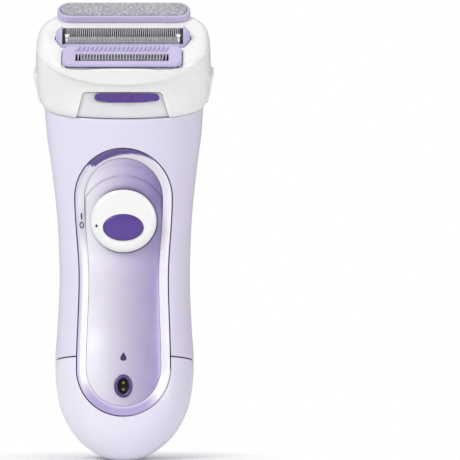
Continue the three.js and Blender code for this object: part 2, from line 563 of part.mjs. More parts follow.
function makeCutter() {
  const half = FOIL_W / 2 - 2.9, v = [FOIL_V - 3.1, FOIL_V + 3.1];
  const block = toSolid(box([-half, half], v, [-6, -1.9], FACE));
  const reach = DRIVE_PIN_R + 0.25;
  add('cutter_carrier', cut(block, box([-reach, reach], [FOIL_V - 2.6, FOIL_V + 2.0], [-8, -2.6], FACE)), white);
  const hump = toSolid(pushAcross(arch(2.9, 3.6, -1.85, 8).reverse(), [-half, half], FACE));
  const pitch = (2 * half) / (BLADE_SLOTS + 0.5);
  const slots = Array.from({ length: BLADE_SLOTS }, (_, k) => {
    const x = -half + pitch * (k + 0.5);
    return box([x, x + pitch * 0.5], [-9, 9], [-1, 6], FACE);
  });
  add('cutter_blades', cut(hump, ...slots), steel);
}

function combOutline(width, teeth, back, front, shift = 0) {
  const pitch = width / teeth, points = [[-width / 2 + shift, back], [-width / 2 + shift, back - 1.6]];
  for (let k = 0; k < teeth; k++) {
    const x = -width / 2 + shift + pitch * k;
    points.push([x + pitch * 0.25, back - 1.6], [x + pitch * 0.38, front], [x + pitch * 0.62, front],
      [x + pitch * 0.75, back - 1.6]);
  }
  points.push([width / 2 + shift, back - 1.6], [width / 2 + shift, back]);
  return points;
}

function makeTrimmer() {
  const half = GUARD_W / 2, well = [GUARD_FRONT + 2.6, GUARD_FRONT + 7.0];
  const corner = 3, steps = 4, front = [];
  for (let k = 0; k <= steps; k++) {
    const t = (Math.PI / 2) * (k / steps);
    front.push([half - corner + corner * Math.cos(t), GUARD_FRONT + corner - corner * Math.sin(t)]);
  }
  const outline = [[half, GUARD_BACK], ...front, ...front.slice().reverse().map(([x, v]) => [-x, v]), [-half, GUARD_BACK]];
  const plate = toSolid(pushUp(outline.reverse(), [0, GUARD_T], FACE));
  const skirt = toSolid(box([-half + 1.5, half - 1.5], [GUARD_FRONT + 2.4, GUARD_BACK - 0.3], [-4.5, 0.5], FACE));
  const hollow = box([-half + 2.7, half - 2.7], [GUARD_FRONT + 3.2, GUARD_BACK - 1.1], [-6, -0.4], FACE);
  const window = box([-COMB_W / 2 - 0.4, COMB_W / 2 + 0.4], well, [-6, 3], FACE);
  let guard = cut(plate.add(skirt), hollow, window);
  for (let k = 0; k < RIBS; k++) {
    const x = -COMB_W / 2 + (COMB_W * (k + 0.5)) / RIBS;
    const rib = pushUp([[x - 0.3, well[1] + 0.5], [x + 0.5, well[1] + 0.5], [x + 1.3, GUARD_BACK - 0.5],
      [x + 0.5, GUARD_BACK - 0.5]], [GUARD_T - 0.2, GUARD_T + 0.5], FACE);
    guard = guard.add(toSolid(rib));
  }
  add('trimmer_guard', guard, trimLilac);
  const comb = combOutline(COMB_W, TEETH, well[1] - 0.1, well[0] + 0.6);
  add('fixed_comb', pushUp(comb.reverse(), [0.75, 1.25], FACE), steel);
  const blade = combOutline(COMB_W - 3, TEETH - 2, well[1] - 0.25, well[0] + 1.1);
  add('trimmer_blade', pushUp(blade.reverse(), [0.05, 0.6], FACE), brushed);
}

function makeExfoliator() {
  const frameL = PAD_LONG + 2 * PAD_FRAME, frameD = PAD_DEEP + 2 * PAD_FRAME;
  const place = at(FACE, 0, PAD_V, 0);
  const tray = toSolid(pushUp(stadium(frameL, frameD), [0.1, 2.1], place));
  add('exfoliator_frame', cut(tray, pushUp(stadium(PAD_LONG + FIT, PAD_DEEP + FIT), [1, 5], place)), trimLilac);
  const ring = (inset, u) => stadium(PAD_LONG - 2 * inset, PAD_DEEP - 2 * inset).map(
    ([x, v]) => new THREE.Vector3(x, v, u).applyMatrix4(place));
  add('exfoliator_pad', loft([ring(0, 1.1), ring(0, PAD_RISE - 0.7), ring(0.5, PAD_RISE - 0.15), ring(1.3, PAD_RISE)]), grey);
}

makeShells();
makePanel();
makeSwitch();
makeSocket();
makePower();
makeMotor();
makeNeck();
makeHeadShell();
makeHeadBase();
makeFoil();
makeCutter();
makeTrimmer();
makeExfoliator();

// The footprint's middle goes to the origin.
const bounds = new THREE.Box3().setFromObject(shaver);
shaver.position.set(-(bounds.min.x + bounds.max.x) / 2, -(bounds.min.y + bounds.max.y) / 2, 0);

export default shaver;
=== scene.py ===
"""Cordless lady shaver: curved handle with a recessed front panel, round power switch and
charging socket; tilted white head with a perforated foil, a trimmer and an exfoliating pad.

Shapes are worked out in millimetres in the handle's own frame and turned into metres when a
piece is made. Local frames on the spine have x to the right, v backwards and u along the spine.
"""
import json
import math

import bpy
import bmesh
import numpy as np
from mathutils import Matrix, Vector
from mathutils.bvhtree import BVHTree


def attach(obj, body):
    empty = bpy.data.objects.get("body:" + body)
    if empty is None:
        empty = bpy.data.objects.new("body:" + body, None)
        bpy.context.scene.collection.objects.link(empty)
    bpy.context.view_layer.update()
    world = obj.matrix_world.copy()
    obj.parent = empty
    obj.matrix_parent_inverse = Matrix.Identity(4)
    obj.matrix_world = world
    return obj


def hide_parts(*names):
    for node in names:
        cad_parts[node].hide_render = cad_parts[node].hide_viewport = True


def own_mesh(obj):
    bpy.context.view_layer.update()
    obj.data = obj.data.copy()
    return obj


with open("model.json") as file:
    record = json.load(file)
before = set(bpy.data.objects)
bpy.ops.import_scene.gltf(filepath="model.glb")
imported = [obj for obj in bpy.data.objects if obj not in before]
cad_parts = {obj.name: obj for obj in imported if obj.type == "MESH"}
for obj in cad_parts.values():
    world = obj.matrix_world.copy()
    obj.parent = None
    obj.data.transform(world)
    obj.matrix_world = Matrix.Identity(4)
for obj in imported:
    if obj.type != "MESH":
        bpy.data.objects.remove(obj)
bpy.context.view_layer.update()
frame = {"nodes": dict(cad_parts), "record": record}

RECORD = frame["record"]
MM = 0.001

# ---------- sizes, in millimetres ----------
HANDLE_L, HANDLE_W, HANDLE_D, HANDLE_POWER = 121.5, 54.4, 36.8, 2.4
BEND_R, WALL, SEAM_Z, WAIST_Z = 180.0, 1.8, 33.4, 62.0
HEAD_W, HEAD_D, HEAD_RISE, HEAD_WALL = 59.4, 37.6, 22.1, 1.7
HEAD_TILT = math.radians(36)
FIT, RUN = 0.2, 0.4                     # gaps between fixed pieces and between moving ones
PANEL_TOP, PANEL_LOW = 106.0, 15.2
PANEL_W, PANEL_WAIST_W, PANEL_LOW_W = 33.4, 30.6, 32.2
CROWN_Z, FOOT_Z = PANEL_TOP - PANEL_W / 2, PANEL_LOW + PANEL_LOW_W / 2
BEZEL_W, RECESS, PANEL_T = 3.3, 2.2, 1.4
SWITCH_Z, SWITCH_W, SWITCH_H = 83.3, 22.5, 21.6
SWITCH_RISE, SWITCH_TRAVEL = 3.4, 3.0
STEM_X, STEM_U = 3, 5                   # half the width and height of the switch's stem
PAD_W, PAD_H, PAD_DROP = 13.7, 9.0, 2.1
SOCKET_Z, SOCKET_W, SOCKET_H, SOCKET_RIM = 23.2, 5.8, 7.5, 1.1
FOIL_W, FOIL_D, FOIL_RISE, FOIL_T = 40.6, 8.4, 2.4, 0.12
FOIL_V, FOIL_BASE = -0.7, 0.45
CASSETTE_W, CASSETTE_D, CASSETTE_H = 45.4, 11.0, 5.0
FOIL_FLOAT, FLOOR_SHARE = 1.0, 0.62     # the cassette's travel; where the head's floor lies
GUARD_W, GUARD_FRONT, GUARD_BACK = 40.1, -18.3, -7.2
GUARD_T, GUARD_FLOAT = 1.5, 0.8
COMB_W, WELL_FRONT, WELL_BACK = 30.4, GUARD_FRONT + 1.75, GUARD_FRONT + 6.15
PAD_LONG, PAD_DEEP, PAD_FRAME, PAD_V = 43.0, 6.9, 1.2, 13.2
NOTCH_TOP, NOTCH_TOP_W, NOTCH_LOW_W = 124.6, 26.4, 30.6
LOCK_W, LOCK_H, LOCK_X, LOCK_DEPTH = 21.8, 2.9, 1.55, 0.95
BUTTON_H, BUTTON_D, BUTTON_SHARE = 10.6, 9.0, 0.27
# details that only show
EASE = 0.35                             # rounding of the shells' edges
LIP_U, LIP_END, LIP_OUT = -6.4, 4.0, 0.8    # the head's lip: depth, less at its ends, how proud
HANDLE_COUNT, HEAD_COUNT = 192, 288     # points round one ring

HANDLE_PROFILE = np.array([
    [0.000, 0.190, 0.25], [0.010, 0.300, 0.38], [0.026, 0.421, 0.50], [0.055, 0.577, 0.655],
    [0.083, 0.678, 0.75], [0.109, 0.741, 0.81], [0.139, 0.800, 0.865], [0.195, 0.853, 0.91],
    [0.275, 0.873, 0.925], [0.363, 0.849, 0.902], [0.505, 0.823, 0.870], [0.590, 0.831, 0.875],
    [0.675, 0.849, 0.886], [0.740, 0.874, 0.905], [0.800, 0.904, 0.930], [0.850, 0.932, 0.954],
    [0.900, 0.963, 0.978], [1.000, 1.000, 1.000]])
HEAD_PROFILE = np.array([
    [-0.10, 0.905, 1.00, 2.4], [0.015, 0.931, 1.015, 2.4], [0.085, 0.960, 1.025, 2.45],
    [0.20, 0.983, 1.02, 2.5], [0.34, 0.994, 1.005, 2.6], [0.60, 1.000, 1.000, 2.8],
    [0.79, 0.993, 0.998, 3.0], [0.90, 0.982, 0.992, 3.1], [0.965, 0.967, 0.980, 3.1],
    [1.0, 0.945, 0.962, 3.1]])


# ---------- the spine and its surfaces ----------
def smooth_table(table, share):
    """The table's columns at these shares, on a smooth curve through its rows."""
    share = np.clip(np.asarray(share, float), table[0, 0], table[-1, 0])
    x, y = table[:, 0], table[:, 1:]
    step = np.diff(x)[:, None]
    slope = np.diff(y, axis=0) / step
    bend = np.vstack([slope[:1], (slope[:-1] * step[1:] + slope[1:] * step[:-1])
                      / (step[1:] + step[:-1]), slope[-1:]])
    k = np.clip(np.searchsorted(x, share, side="right") - 1, 0, len(x) - 2)
    h = step[k]
    t = ((share - x[k]) / h[..., 0])[..., None]
    return ((2 * t**3 - 3 * t**2 + 1) * y[k] + (t**3 - 2 * t**2 + t) * h * bend[k]
            + (3 * t**2 - 2 * t**3) * y[k + 1] + (t**3 - t**2) * h * bend[k + 1])


def frame_at(y, z, tilt):
    c, s = math.cos(tilt), math.sin(tilt)
    return np.array([[1, 0, 0, 0], [0, c, -s, y], [0, s, c, z], [0, 0, 0, 1]], float)


def place_points(place, points):
    return np.asarray(points, float) @ place[:3, :3].T + place[:3, 3]


def shifted(place, x, v, u):
    return place @ np.array([[1, 0, 0, x], [0, 1, 0, v], [0, 0, 1, u], [0, 0, 0, 1]], float)


def spine(z):
    """The handle's spine at a height: its y and how far its sections tilt."""
    tilt = np.arcsin((np.asarray(z, float) - WAIST_Z) / BEND_R)
    return -BEND_R * (1 - np.cos(tilt)), tilt * np.clip(np.asarray(z, float) / SEAM_Z, 0, 1)


def handle_frame(z):
    y, tilt = spine(z)
    return frame_at(float(y), z, float(tilt))


JOINT = handle_frame(HANDLE_L)
JOINT_TILT = math.asin((HANDLE_L - WAIST_Z) / BEND_R)
HEAD_R = HEAD_RISE / (math.sin(HEAD_TILT) - math.sin(JOINT_TILT))


def head_spine(share):
    tilt = JOINT_TILT + (HEAD_TILT - JOINT_TILT) * np.asarray(share, float)
    y = JOINT[1, 3] + HEAD_R * (np.cos(tilt) - math.cos(JOINT_TILT))
    return y, HANDLE_L + HEAD_R * (np.sin(tilt) - math.sin(JOINT_TILT)), tilt


def head_frame(share):
    y, z, tilt = head_spine(share)
    return frame_at(float(y), float(z), float(tilt))


FACE = head_frame(1.0)
FACE_UP = FACE[:3, 2]
SPIN = next(j for j in RECORD["behaviour"]["joints"] if j["name"] == "motor_spin")
SHIFT = SPIN["pos_m"][1] / MM - JOINT[1, 3]     # the whole shaver is centred on the origin


def section(half_w, half_d, power, count):
    """Evenly spaced points of one rounded section, anticlockwise from +x; count is a
    multiple of 4."""
    t = np.linspace(0, math.pi / 2, 241)
    quarter = np.stack([half_w * np.cos(t) ** (2 / power), half_d * np.sin(t) ** (2 / power)], 1)
    run = np.concatenate([[0], np.cumsum(np.linalg.norm(np.diff(quarter, axis=0), axis=1))])
    even = np.linspace(0, run[-1], count // 4 + 1)
    q = np.stack([np.interp(even, run, quarter[:, 0]), np.interp(even, run, quarter[:, 1])], 1)
    left = q[::-1][1:] * [-1, 1]
    half = np.vstack([q, left])
    low = half[::-1][1:-1] * [1, -1]
    flat = np.vstack([half, low])
    return np.column_stack([flat, np.zeros(len(flat))])


def handle_ring(z, inset):
    w, d = smooth_table(HANDLE_PROFILE, z / HANDLE_L)
    half_w, half_d = w * HANDLE_W / 2 - inset, d * HANDLE_D / 2 - inset
    return place_points(handle_frame(z), section(half_w, half_d, HANDLE_POWER, HANDLE_COUNT))


def head_ring(share, inset):
    w, d, power = smooth_table(HEAD_PROFILE, share)
    half_w, half_d = w * HEAD_W / 2 - inset, d * HEAD_D / 2 - inset
    return place_points(head_frame(share), section(half_w, half_d, power, HEAD_COUNT))


def section_front(x, half_w, half_d, power):
    """How far a rounded section's front lies from the spine at x, as a negative v."""
    return -half_d * (1 - np.clip(np.abs(x) / half_w, 0, 0.999) ** power) ** (1 / power)


def handle_front(x, z, inset):
    """Points on the handle's front, taken in by inset, over x and the true height z."""
    passes = 10
    x, z, inset = np.broadcast_arrays(np.asarray(x, float), z, inset)
    level = z.astype(float)
    for _ in range(passes):
        y, tilt = spine(level)
        w, d = np.moveaxis(smooth_table(HANDLE_PROFILE, level / HANDLE_L), -1, 0)
        v = section_front(x, w * HANDLE_W / 2 - inset, d * HANDLE_D / 2 - inset, HANDLE_POWER)
        level = z - v * np.sin(tilt)
    return np.stack([x, y + v * np.cos(tilt), z], -1)


def head_front(x, z, inset):
    """Points on the head's front, as handle_front."""
    halvings = 26
    x, z, inset = np.broadcast_arrays(np.asarray(x, float), z, inset)
    low, high = np.full(x.shape, -0.1), np.full(x.shape, 1.0)
    for _ in range(halvings):
        share = (low + high) / 2
        y, level, tilt = head_spine(share)
        w, d, power = np.moveaxis(smooth_table(HEAD_PROFILE, share), -1, 0)
        v = section_front(x, w * HEAD_W / 2 - inset, d * HEAD_D / 2 - inset, power)
        under = level + v * np.sin(tilt) < z
        low, high = np.where(under, share, low), np.where(under, high, share)
    return np.stack([x, y + v * np.cos(tilt), z], -1)


def smoothstep(value, low, high):
    t = np.clip((np.asarray(value, float) - low) / (high - low), 0, 1)
    return t * t * (3 - 2 * t)


# ---------- outlines ----------
def panel_outline(inset=0.0, straight=90, arc=70):
    """The front panel's outline in (x, z): round top, slim waist, round foot, anticlockwise."""
    z = np.linspace(FOOT_Z, CROWN_Z, straight, endpoint=False)
    far_w = np.where(z > WAIST_Z, PANEL_W, PANEL_LOW_W)
    far_z = np.where(z > WAIST_Z, CROWN_Z - WAIST_Z, WAIST_Z - FOOT_Z)
    flare = (far_w - PANEL_WAIST_W) * smoothstep(np.abs(z - WAIST_Z), 0, far_z)
    right = np.column_stack([(PANEL_WAIST_W + flare) / 2 - inset, z])
    left = right[1:][::-1] * [-1, 1]
    t = np.linspace(0, math.pi, arc + 1)
    crown_r, foot_r = PANEL_W / 2 - inset, PANEL_LOW_W / 2 - inset
    crown = np.column_stack([crown_r * np.cos(t), CROWN_Z + crown_r * np.sin(t)])
    foot = np.column_stack([foot_r * np.cos(t + math.pi), FOOT_Z + foot_r * np.sin(t + math.pi)])
    return np.vstack([right, crown, left, foot[:-1]])


def rounded_box(half_x, half_y, r, arc=8, straight=12):
    """A rectangle with round corners, anticlockwise from the middle of its right side; it is
    the same upside down, so that each point has its mirror."""
    r = max(1e-3, min(r, half_x - 1e-3, half_y - 1e-3))
    t = np.linspace(0, math.pi / 2, arc + 1)
    corner = np.column_stack([half_x - r + r * np.cos(t), half_y - r + r * np.sin(t)])
    side = np.column_stack([np.full(3, half_x), np.linspace(0, half_y - r, 4)[:-1]])
    top = np.column_stack([np.linspace(half_x - r, 0, straight + 1)[1:], np.full(straight, half_y)])
    quarter = np.vstack([side, corner, top])
    upper = np.vstack([quarter, quarter[::-1][1:] * [-1, 1]])
    return np.vstack([upper, upper[::-1][1:-1] * [1, -1]])


def oval(half_x, half_y, count=96):
    t = np.linspace(0, 2 * math.pi, count, endpoint=False)
    return np.column_stack([half_x * np.cos(t), half_y * np.sin(t)])


def arch(share, half_depth, rise):
    """Points of the foil's arch in (v, u), from the front foot to the back foot."""
    t = np.linspace(math.pi, 0, 400)
    curve = np.column_stack([half_depth * np.cos(t), rise * np.sin(t)])
    run = np.concatenate([[0], np.cumsum(np.linalg.norm(np.diff(curve, axis=0), axis=1))])
    v, u = (np.interp(np.asarray(share) * run[-1], run, side) for side in curve.T)
    return FOIL_V + v, FOIL_BASE + u


# ---------- bodies from rings and grids ----------
def band(rows, closed=True):
    """Quads between rings of equal count, each a closed loop; closed joins the last ring to
    the first."""
    n, faces = len(rows[0]), []
    pairs = [(r, r + 1) for r in range(len(rows) - 1)] + ([(len(rows) - 1, 0)] if closed else [])
    for a, b in pairs:
        for k in range(n):
            j = (k + 1) % n
            faces.append((a * n + k, a * n + j, b * n + j, b * n + k))
    return np.vstack(rows), faces


def sweep(rows):
    """A closed ring-shaped body: the last ring meets the first."""
    return band(rows, True)


def loft(rows):
    """A closed body whose two ends are filled with strips between mirrored points."""
    points, faces = band(rows, False)
    n = len(rows[0])
    for start in (0, (len(rows) - 1) * n):
        half = n // 2
        faces.append((start, start + 1, start + n - 1))
        for k in range(1, half - 1):
            faces.append((start + k, start + k + 1, start + n - k - 1, start + n - k))
        faces.append((start + half - 1, start + half, start + half + 1))
    return points, faces


def slab(outer, inner):
    """A closed sheet between two grids of equal shape (rows, columns, 3)."""
    r, c = outer.shape[:2]
    at = lambda side, i, j: side * r * c + i * c + j
    faces = []
    for i in range(r - 1):
        for j in range(c - 1):
            faces.append((at(0, i, j), at(0, i, j + 1), at(0, i + 1, j + 1), at(0, i + 1, j)))
            faces.append((at(1, i, j), at(1, i + 1, j), at(1, i + 1, j + 1), at(1, i, j + 1)))
    for i in range(r - 1):
        for j in (0, c - 1):
            faces.append((at(0, i, j), at(0, i + 1, j), at(1, i + 1, j), at(1, i, j)))
    for j in range(c - 1):
        for i in (0, r - 1):
            faces.append((at(0, i, j), at(1, i, j), at(1, i, j + 1), at(0, i, j + 1)))
    return np.vstack([outer.reshape(-1, 3), inner.reshape(-1, 3)]), faces


def joined(*bodies):
    points, faces, start = [], [], 0
    for p, f in bodies:
        points.append(np.asarray(p, float))
        faces += [tuple(i + start for i in face) for face in f]
        start += len(p)
    return np.vstack(points), faces


def block(x, v, u, place):
    """A plain box, for cutting."""
    corners = [(a, b, c) for c in u for b in v for a in x]
    faces = [(0, 2, 3, 1), (4, 5, 7, 6), (0, 1, 5, 4), (2, 6, 7, 3), (0, 4, 6, 2), (1, 3, 7, 5)]
    return place_points(place, corners), faces


def push_front(outline, y=(-63.0, -3.0)):
    """An outline in (x, z) pushed through the front."""
    n = len(outline)
    rows = [np.column_stack([outline[:, 0], np.full(n, depth), outline[:, 1]]) for depth in y]
    points, faces = band(rows, False)
    return points, faces + [tuple(range(n)), tuple(range(2 * n - 1, n - 1, -1))]


def rough_mesh(body, name="work"):
    points, faces = body
    mesh = bpy.data.meshes.new(name)
    mesh.from_pydata([tuple(p) for p in np.asarray(points).tolist()], [], faces)
    bm = bmesh.new()
    bm.from_mesh(mesh)
    bmesh.ops.remove_doubles(bm, verts=bm.verts, dist=1e-5)
    bmesh.ops.recalc_face_normals(bm, faces=bm.faces)
    bm.to_mesh(mesh)
    bm.free()
    return mesh


def body_of(mesh):
    points = np.empty(len(mesh.vertices) * 3)
    mesh.vertices.foreach_get("co", points)
    return points.reshape(-1, 3), [tuple(p.vertices) for p in mesh.polygons]


def added_object(name, data):
    obj = bpy.data.objects.new(name, data)
    bpy.context.scene.collection.objects.link(obj)
    return obj


def baked(obj):
    """The object's mesh with its modifiers applied; the object itself goes."""
    bpy.context.view_layer.update()
    final = obj.evaluated_get(bpy.context.evaluated_depsgraph_get())
    mesh = bpy.data.meshes.new_from_object(final)
    bpy.data.objects.remove(obj)
    return mesh


def combine(base, operation, *tools):
    """Cuts or joins closed bodies, in millimetres."""
    obj = added_object("work", rough_mesh(base))
    helpers = [added_object("tool", rough_mesh(tool)) for tool in tools]
    for helper in helpers:
        mod = obj.modifiers.new("combine", "BOOLEAN")
        mod.operation, mod.object, mod.solver = operation, helper, "MANIFOLD"
    mesh = baked(obj)
    for helper in helpers:
        bpy.data.objects.remove(helper)
    if not len(mesh.polygons):
        raise RuntimeError("a cut left nothing")
    return body_of(mesh)


def cut(base, *tools):
    return combine(base, "DIFFERENCE", *tools)


def common(base, tool):
    return combine(base, "INTERSECT", tool)


def make(name, body, rides, slot, node=None, angle=35, material=None, tint=None):
    """A finished piece in metres, in its slot's material unless another is given. Edges
    sharper than angle stay sharp, and tint gives each point a value of painted shade for the
    material."""
    mesh = rough_mesh(body, name)
    mesh.transform(Matrix.Scale(MM, 4) @ Matrix.Translation((0, SHIFT, 0)))
    mesh.polygons.foreach_set("use_smooth", [True] * len(mesh.polygons))
    mesh.set_sharp_from_angle(angle=math.radians(angle))
    mesh.materials.append(material or MAT[slot])
    if tint is not None:
        points = body_of(mesh)[0] / MM - [0, SHIFT, 0]
        layer = mesh.attributes.new("tint", "FLOAT", "POINT")
        layer.data.foreach_set("value", np.asarray(tint(points), np.float32))
    obj = added_object(name, mesh)
    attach(obj, rides)
    if node:
        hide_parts(node)
    return obj


# ---------- materials ----------
BUMP_STRENGTH = 0.6


def added(tree, kind, **values):
    """A new node with these settings."""
    node = tree.nodes.new(kind)
    for key, value in values.items():
        setattr(node, key, value)
    return node


def feed(tree, socket, value):
    """Gives a socket a number, a colour or what another socket puts out."""
    if isinstance(value, bpy.types.NodeSocket):
        tree.links.new(value, socket)
    else:
        socket.default_value = (*value, 1) if isinstance(value, tuple) else value


class Nodes:
    """A material's nodes with a little shorthand."""

    def __init__(self, name):
        self.material = bpy.data.materials.new(name)
        self.material.use_nodes = True
        self.tree = self.material.node_tree
        self.tree.nodes.clear()
        self.out = self.add("ShaderNodeOutputMaterial")
        self.shader = self.add("ShaderNodeBsdfPrincipled")
        self.link(self.shader.outputs[0], self.out.inputs["Surface"])
        self.place = self.add("ShaderNodeTexCoord").outputs["Object"]

    def add(self, kind, **values):
        return added(self.tree, kind, **values)

    def link(self, source, target):
        self.tree.links.new(source, target)

    def set(self, node, **values):
        for key, value in values.items():
            node.inputs[key.replace("_", " ")].default_value = value
        return node

    def noise(self, scale, detail=3.0, rough=0.55, stretch=None):
        node = self.set(self.add("ShaderNodeTexNoise"), Scale=scale, Detail=detail, Roughness=rough)
        source = self.place
        if stretch:
            mapping = self.add("ShaderNodeMapping")
            mapping.inputs["Scale"].default_value = stretch
            self.link(source, mapping.inputs["Vector"])
            source = mapping.outputs["Vector"]
        self.link(source, node.inputs["Vector"])
        return node.outputs["Fac"]

    def cells(self, scale, feature):
        node = self.set(self.add("ShaderNodeTexVoronoi", feature=feature), Scale=scale)
        self.link(self.place, node.inputs["Vector"])
        return node.outputs["Distance"]

    def ramp(self, source, *stops):
        """Colour or grey stops: (position, value)."""
        node = self.add("ShaderNodeValToRGB")
        elements = node.color_ramp.elements
        while len(elements) < len(stops):
            elements.new(0.5)
        for element, (position, value) in zip(elements, stops):
            element.position = position
            element.color = (*(value if isinstance(value, tuple) else (value,) * 3), 1)
        self.link(source, node.inputs["Fac"])
        return node.outputs["Color"]

    def range(self, source, low, high, to_low=0.0, to_high=1.0):
        node = self.set(self.add("ShaderNodeMapRange"), From_Min=low, From_Max=high,
                        To_Min=to_low, To_Max=to_high)
        self.link(source, node.inputs["Value"])
        return node.outputs["Result"]

    def axis(self, name):
        node = self.add("ShaderNodeSeparateXYZ")
        self.link(self.place, node.inputs[0])
        return node.outputs[name]

    def mix(self, fac, a, b):
        node = self.add("ShaderNodeMix", data_type="RGBA", blend_type="MIX")
        for index, value in ((0, fac), (6, a), (7, b)):
            feed(self.tree, node.inputs[index], value)
        return node.outputs[2]

    def math(self, operation, a, b):
        node = self.add("ShaderNodeMath", operation=operation)
        for socket, value in zip(node.inputs, (a, b)):
            feed(self.tree, socket, value)
        return node.outputs[0]

    def tint(self):
        # each point's value of painted shade
        return self.add("ShaderNodeAttribute", attribute_name="tint").outputs["Fac"]

    def finish(self, colour, rough, bump, depth, **shader):
        """The material with this colour and roughness; depth is the bump's, in metres."""
        feed(self.tree, self.shader.inputs["Base Color"], colour)
        feed(self.tree, self.shader.inputs["Roughness"], rough)
        self.set(self.shader, **shader)
        node = self.set(self.add("ShaderNodeBump"), Distance=depth, Strength=BUMP_STRENGTH)
        self.link(bump, node.inputs["Height"])
        self.link(node.outputs[0], self.shader.inputs["Normal"])
        return self.material


def colour(text):
    """A linear colour from its usual six-digit form."""
    values = [int(text[i:i + 2], 16) / 255 for i in (0, 2, 4)]
    return tuple(c / 12.92 if c <= 0.04045 else ((c + 0.055) / 1.055) ** 2.4 for c in values)


def moulded(name, light, dark, rough=0.32, grain=2600.0, depth=0.000003, **shader):
    """Moulded plastic: faint flow marks in its colour, a fine spark-eroded grain and a few
    soft scuffs."""
    n = Nodes(name)
    flow = n.noise(38, 4, 0.6)
    base = n.mix(n.range(flow, 0.35, 0.65), colour(light), colour(dark))
    scuff = n.ramp(n.noise(420, 6, 0.7, (1, 1, 0.25)), (0.62, 0.0), (0.78, 1.0))
    gloss = n.math("ADD", n.range(n.noise(150, 3), 0.3, 0.7, rough - 0.03, rough + 0.04),
                   n.math("MULTIPLY", scuff, 0.04))
    return n.finish(base, gloss, n.noise(grain, 3, 0.6), depth, **shader)


def handle_lacquer(name, light, dark):
    """Satin lilac lacquer with painted shade: lighter on the handle's left and darker on its
    right, and a mild orange peel under clear coat."""
    n = Nodes(name)
    # painted shade: the colour runs from light on the handle's left to dark on its right, as the
    # light falls from the left
    side = n.range(n.axis("X"), -0.027, 0.027)
    painted_side_shade = n.mix(side, colour(light), colour(dark))
    pearl = n.mix(n.range(n.noise(5200, 2, 0.8), 0.45, 0.75, 0, 0.10), painted_side_shade, colour("F3F0FA"))
    cloud = n.mix(n.range(n.noise(26, 3), 0.35, 0.7, 0, 0.08), pearl, colour("B9B0D2"))
    peel = n.math("ADD", n.noise(900, 2, 0.5), n.math("MULTIPLY", n.noise(5200, 2, 0.7), 0.15))
    return n.finish(cloud, n.range(n.noise(120, 3), 0.3, 0.7, 0.33, 0.42), peel, 0.000004,
                    Coat_Weight=0.35, Coat_Roughness=0.12, Specular_IOR_Level=0.45)


def panel_metallic():
    """Pearl lilac film on the panel with a painted reflection and painted shade: near white
    on its left, deeper lilac on its right and deeper towards the top; fine pearl grain."""
    n = Nodes("panel_pearl_lilac")
    # painted reflection and shade: the colour runs from near white on the left to deep lilac on the
    # right
    side = n.range(n.axis("X"), -0.0145, 0.0145)
    low = n.ramp(side, (0.0, colour("F0EEF4")), (0.3, colour("DDD8E6")),
                 (0.62, colour("BCB3D0")), (0.88, colour("A094C0")), (0.95, colour("8E80B3")),
                 (1.0, colour("7868A2")))
    high = n.ramp(side, (0.0, colour("F0EEF4")), (0.3, colour("D3CCE0")),
                  (0.62, colour("A69AC4")), (0.88, colour("7F70A8")), (1.0, colour("6E5E99")))
    base = n.mix(n.range(n.axis("Z"), 0.060, 0.090), low, high)
    base = n.mix(n.range(n.noise(220, 3), 0.3, 0.7, 0, 0.05), base, colour("FFFFFF"))
    rough = n.range(n.noise(60, 2), 0.3, 0.7, 0.25, 0.28)
    return n.finish(base, rough, n.noise(260, 2), 0.000003, Metallic=0.2, Coat_Weight=0.6,
                    Coat_Roughness=0.06)


def bezel_plastic():
    """Clear-coated trim of the panel's edge; its painted shade runs from 0 off-white to 1 deep
    lilac.
    """
    n = Nodes("bezel_trim")
    base = n.ramp(n.tint(), (0.0, colour("F6F4F7")), (0.4, colour("B7ABD6")),
                  (0.8, colour("5F4A92")), (0.9, colour("4B3779")), (1.0, colour("332A4C")))
    base = n.mix(n.range(n.noise(90, 4), 0.4, 0.7, 0, 0.06), base, colour("D9D2E6"))
    rough = n.range(n.noise(300, 3), 0.3, 0.7, 0.2, 0.3)
    return n.finish(base, rough, n.noise(2600, 3), 0.000006, Coat_Weight=0.5,
                    Coat_Roughness=0.08)


def rolled_steel(name, light, dark, rough, stretch=(1, 0.05, 0.05)):
    """Rolled metal with fine lines along one axis and a few dull patches."""
    n = Nodes(name)
    lines = n.noise(3800, 4, 0.65, stretch)
    base = n.mix(n.range(lines, 0.3, 0.7), colour(dark), colour(light))
    stain = n.range(n.noise(300, 4), 0.45, 0.75, 0, 0.2)
    base = n.mix(stain, base, colour("8C8E95"))
    gloss = n.range(lines, 0.3, 0.7, rough - 0.06, rough + 0.1)
    return n.finish(base, gloss, lines, 0.000006, Metallic=1.0)


def abrasive():
    """Hard grit bonded on a grey tray: pale and dark grains with small glints."""
    n = Nodes("abrasive_grit")
    node = n.set(n.add("ShaderNodeTexVoronoi"), Scale=3200)
    n.link(n.place, node.inputs["Vector"])
    pick = n.add("ShaderNodeSeparateColor")
    n.link(node.outputs["Color"], pick.inputs[0])
    base = n.ramp(pick.outputs[0], (0.0, colour("8E8E94")), (0.45, colour("A6A6AC")),
                  (0.8, colour("BEBEC4")), (1.0, colour("E2E2E8")))
    base = n.mix(n.range(n.noise(240, 4), 0.4, 0.7, 0, 0.25), base, colour("8E8E96"))
    rough = n.range(pick.outputs[1], 0.0, 1.0, 0.35, 0.85)
    return n.finish(base, rough, node.outputs["Distance"], 0.00006, Specular_IOR_Level=0.6)


def laminate():
    """Green glass-fibre board with a woven grain and paler tracks."""
    n = Nodes("circuit_laminate")
    weave = n.noise(2600, 2, 0.5, (1, 1, 0.2))
    base = n.mix(n.range(weave, 0.35, 0.65), colour("1F5A3A"), colour("2C7049"))
    tracks = n.ramp(n.cells(420, "DISTANCE_TO_EDGE"), (0.04, 1.0), (0.07, 0.0))
    base = n.mix(n.math("MULTIPLY", tracks, 0.5), base, colour("6FA56A"))
    return n.finish(base, 0.42, weave, 0.000008)


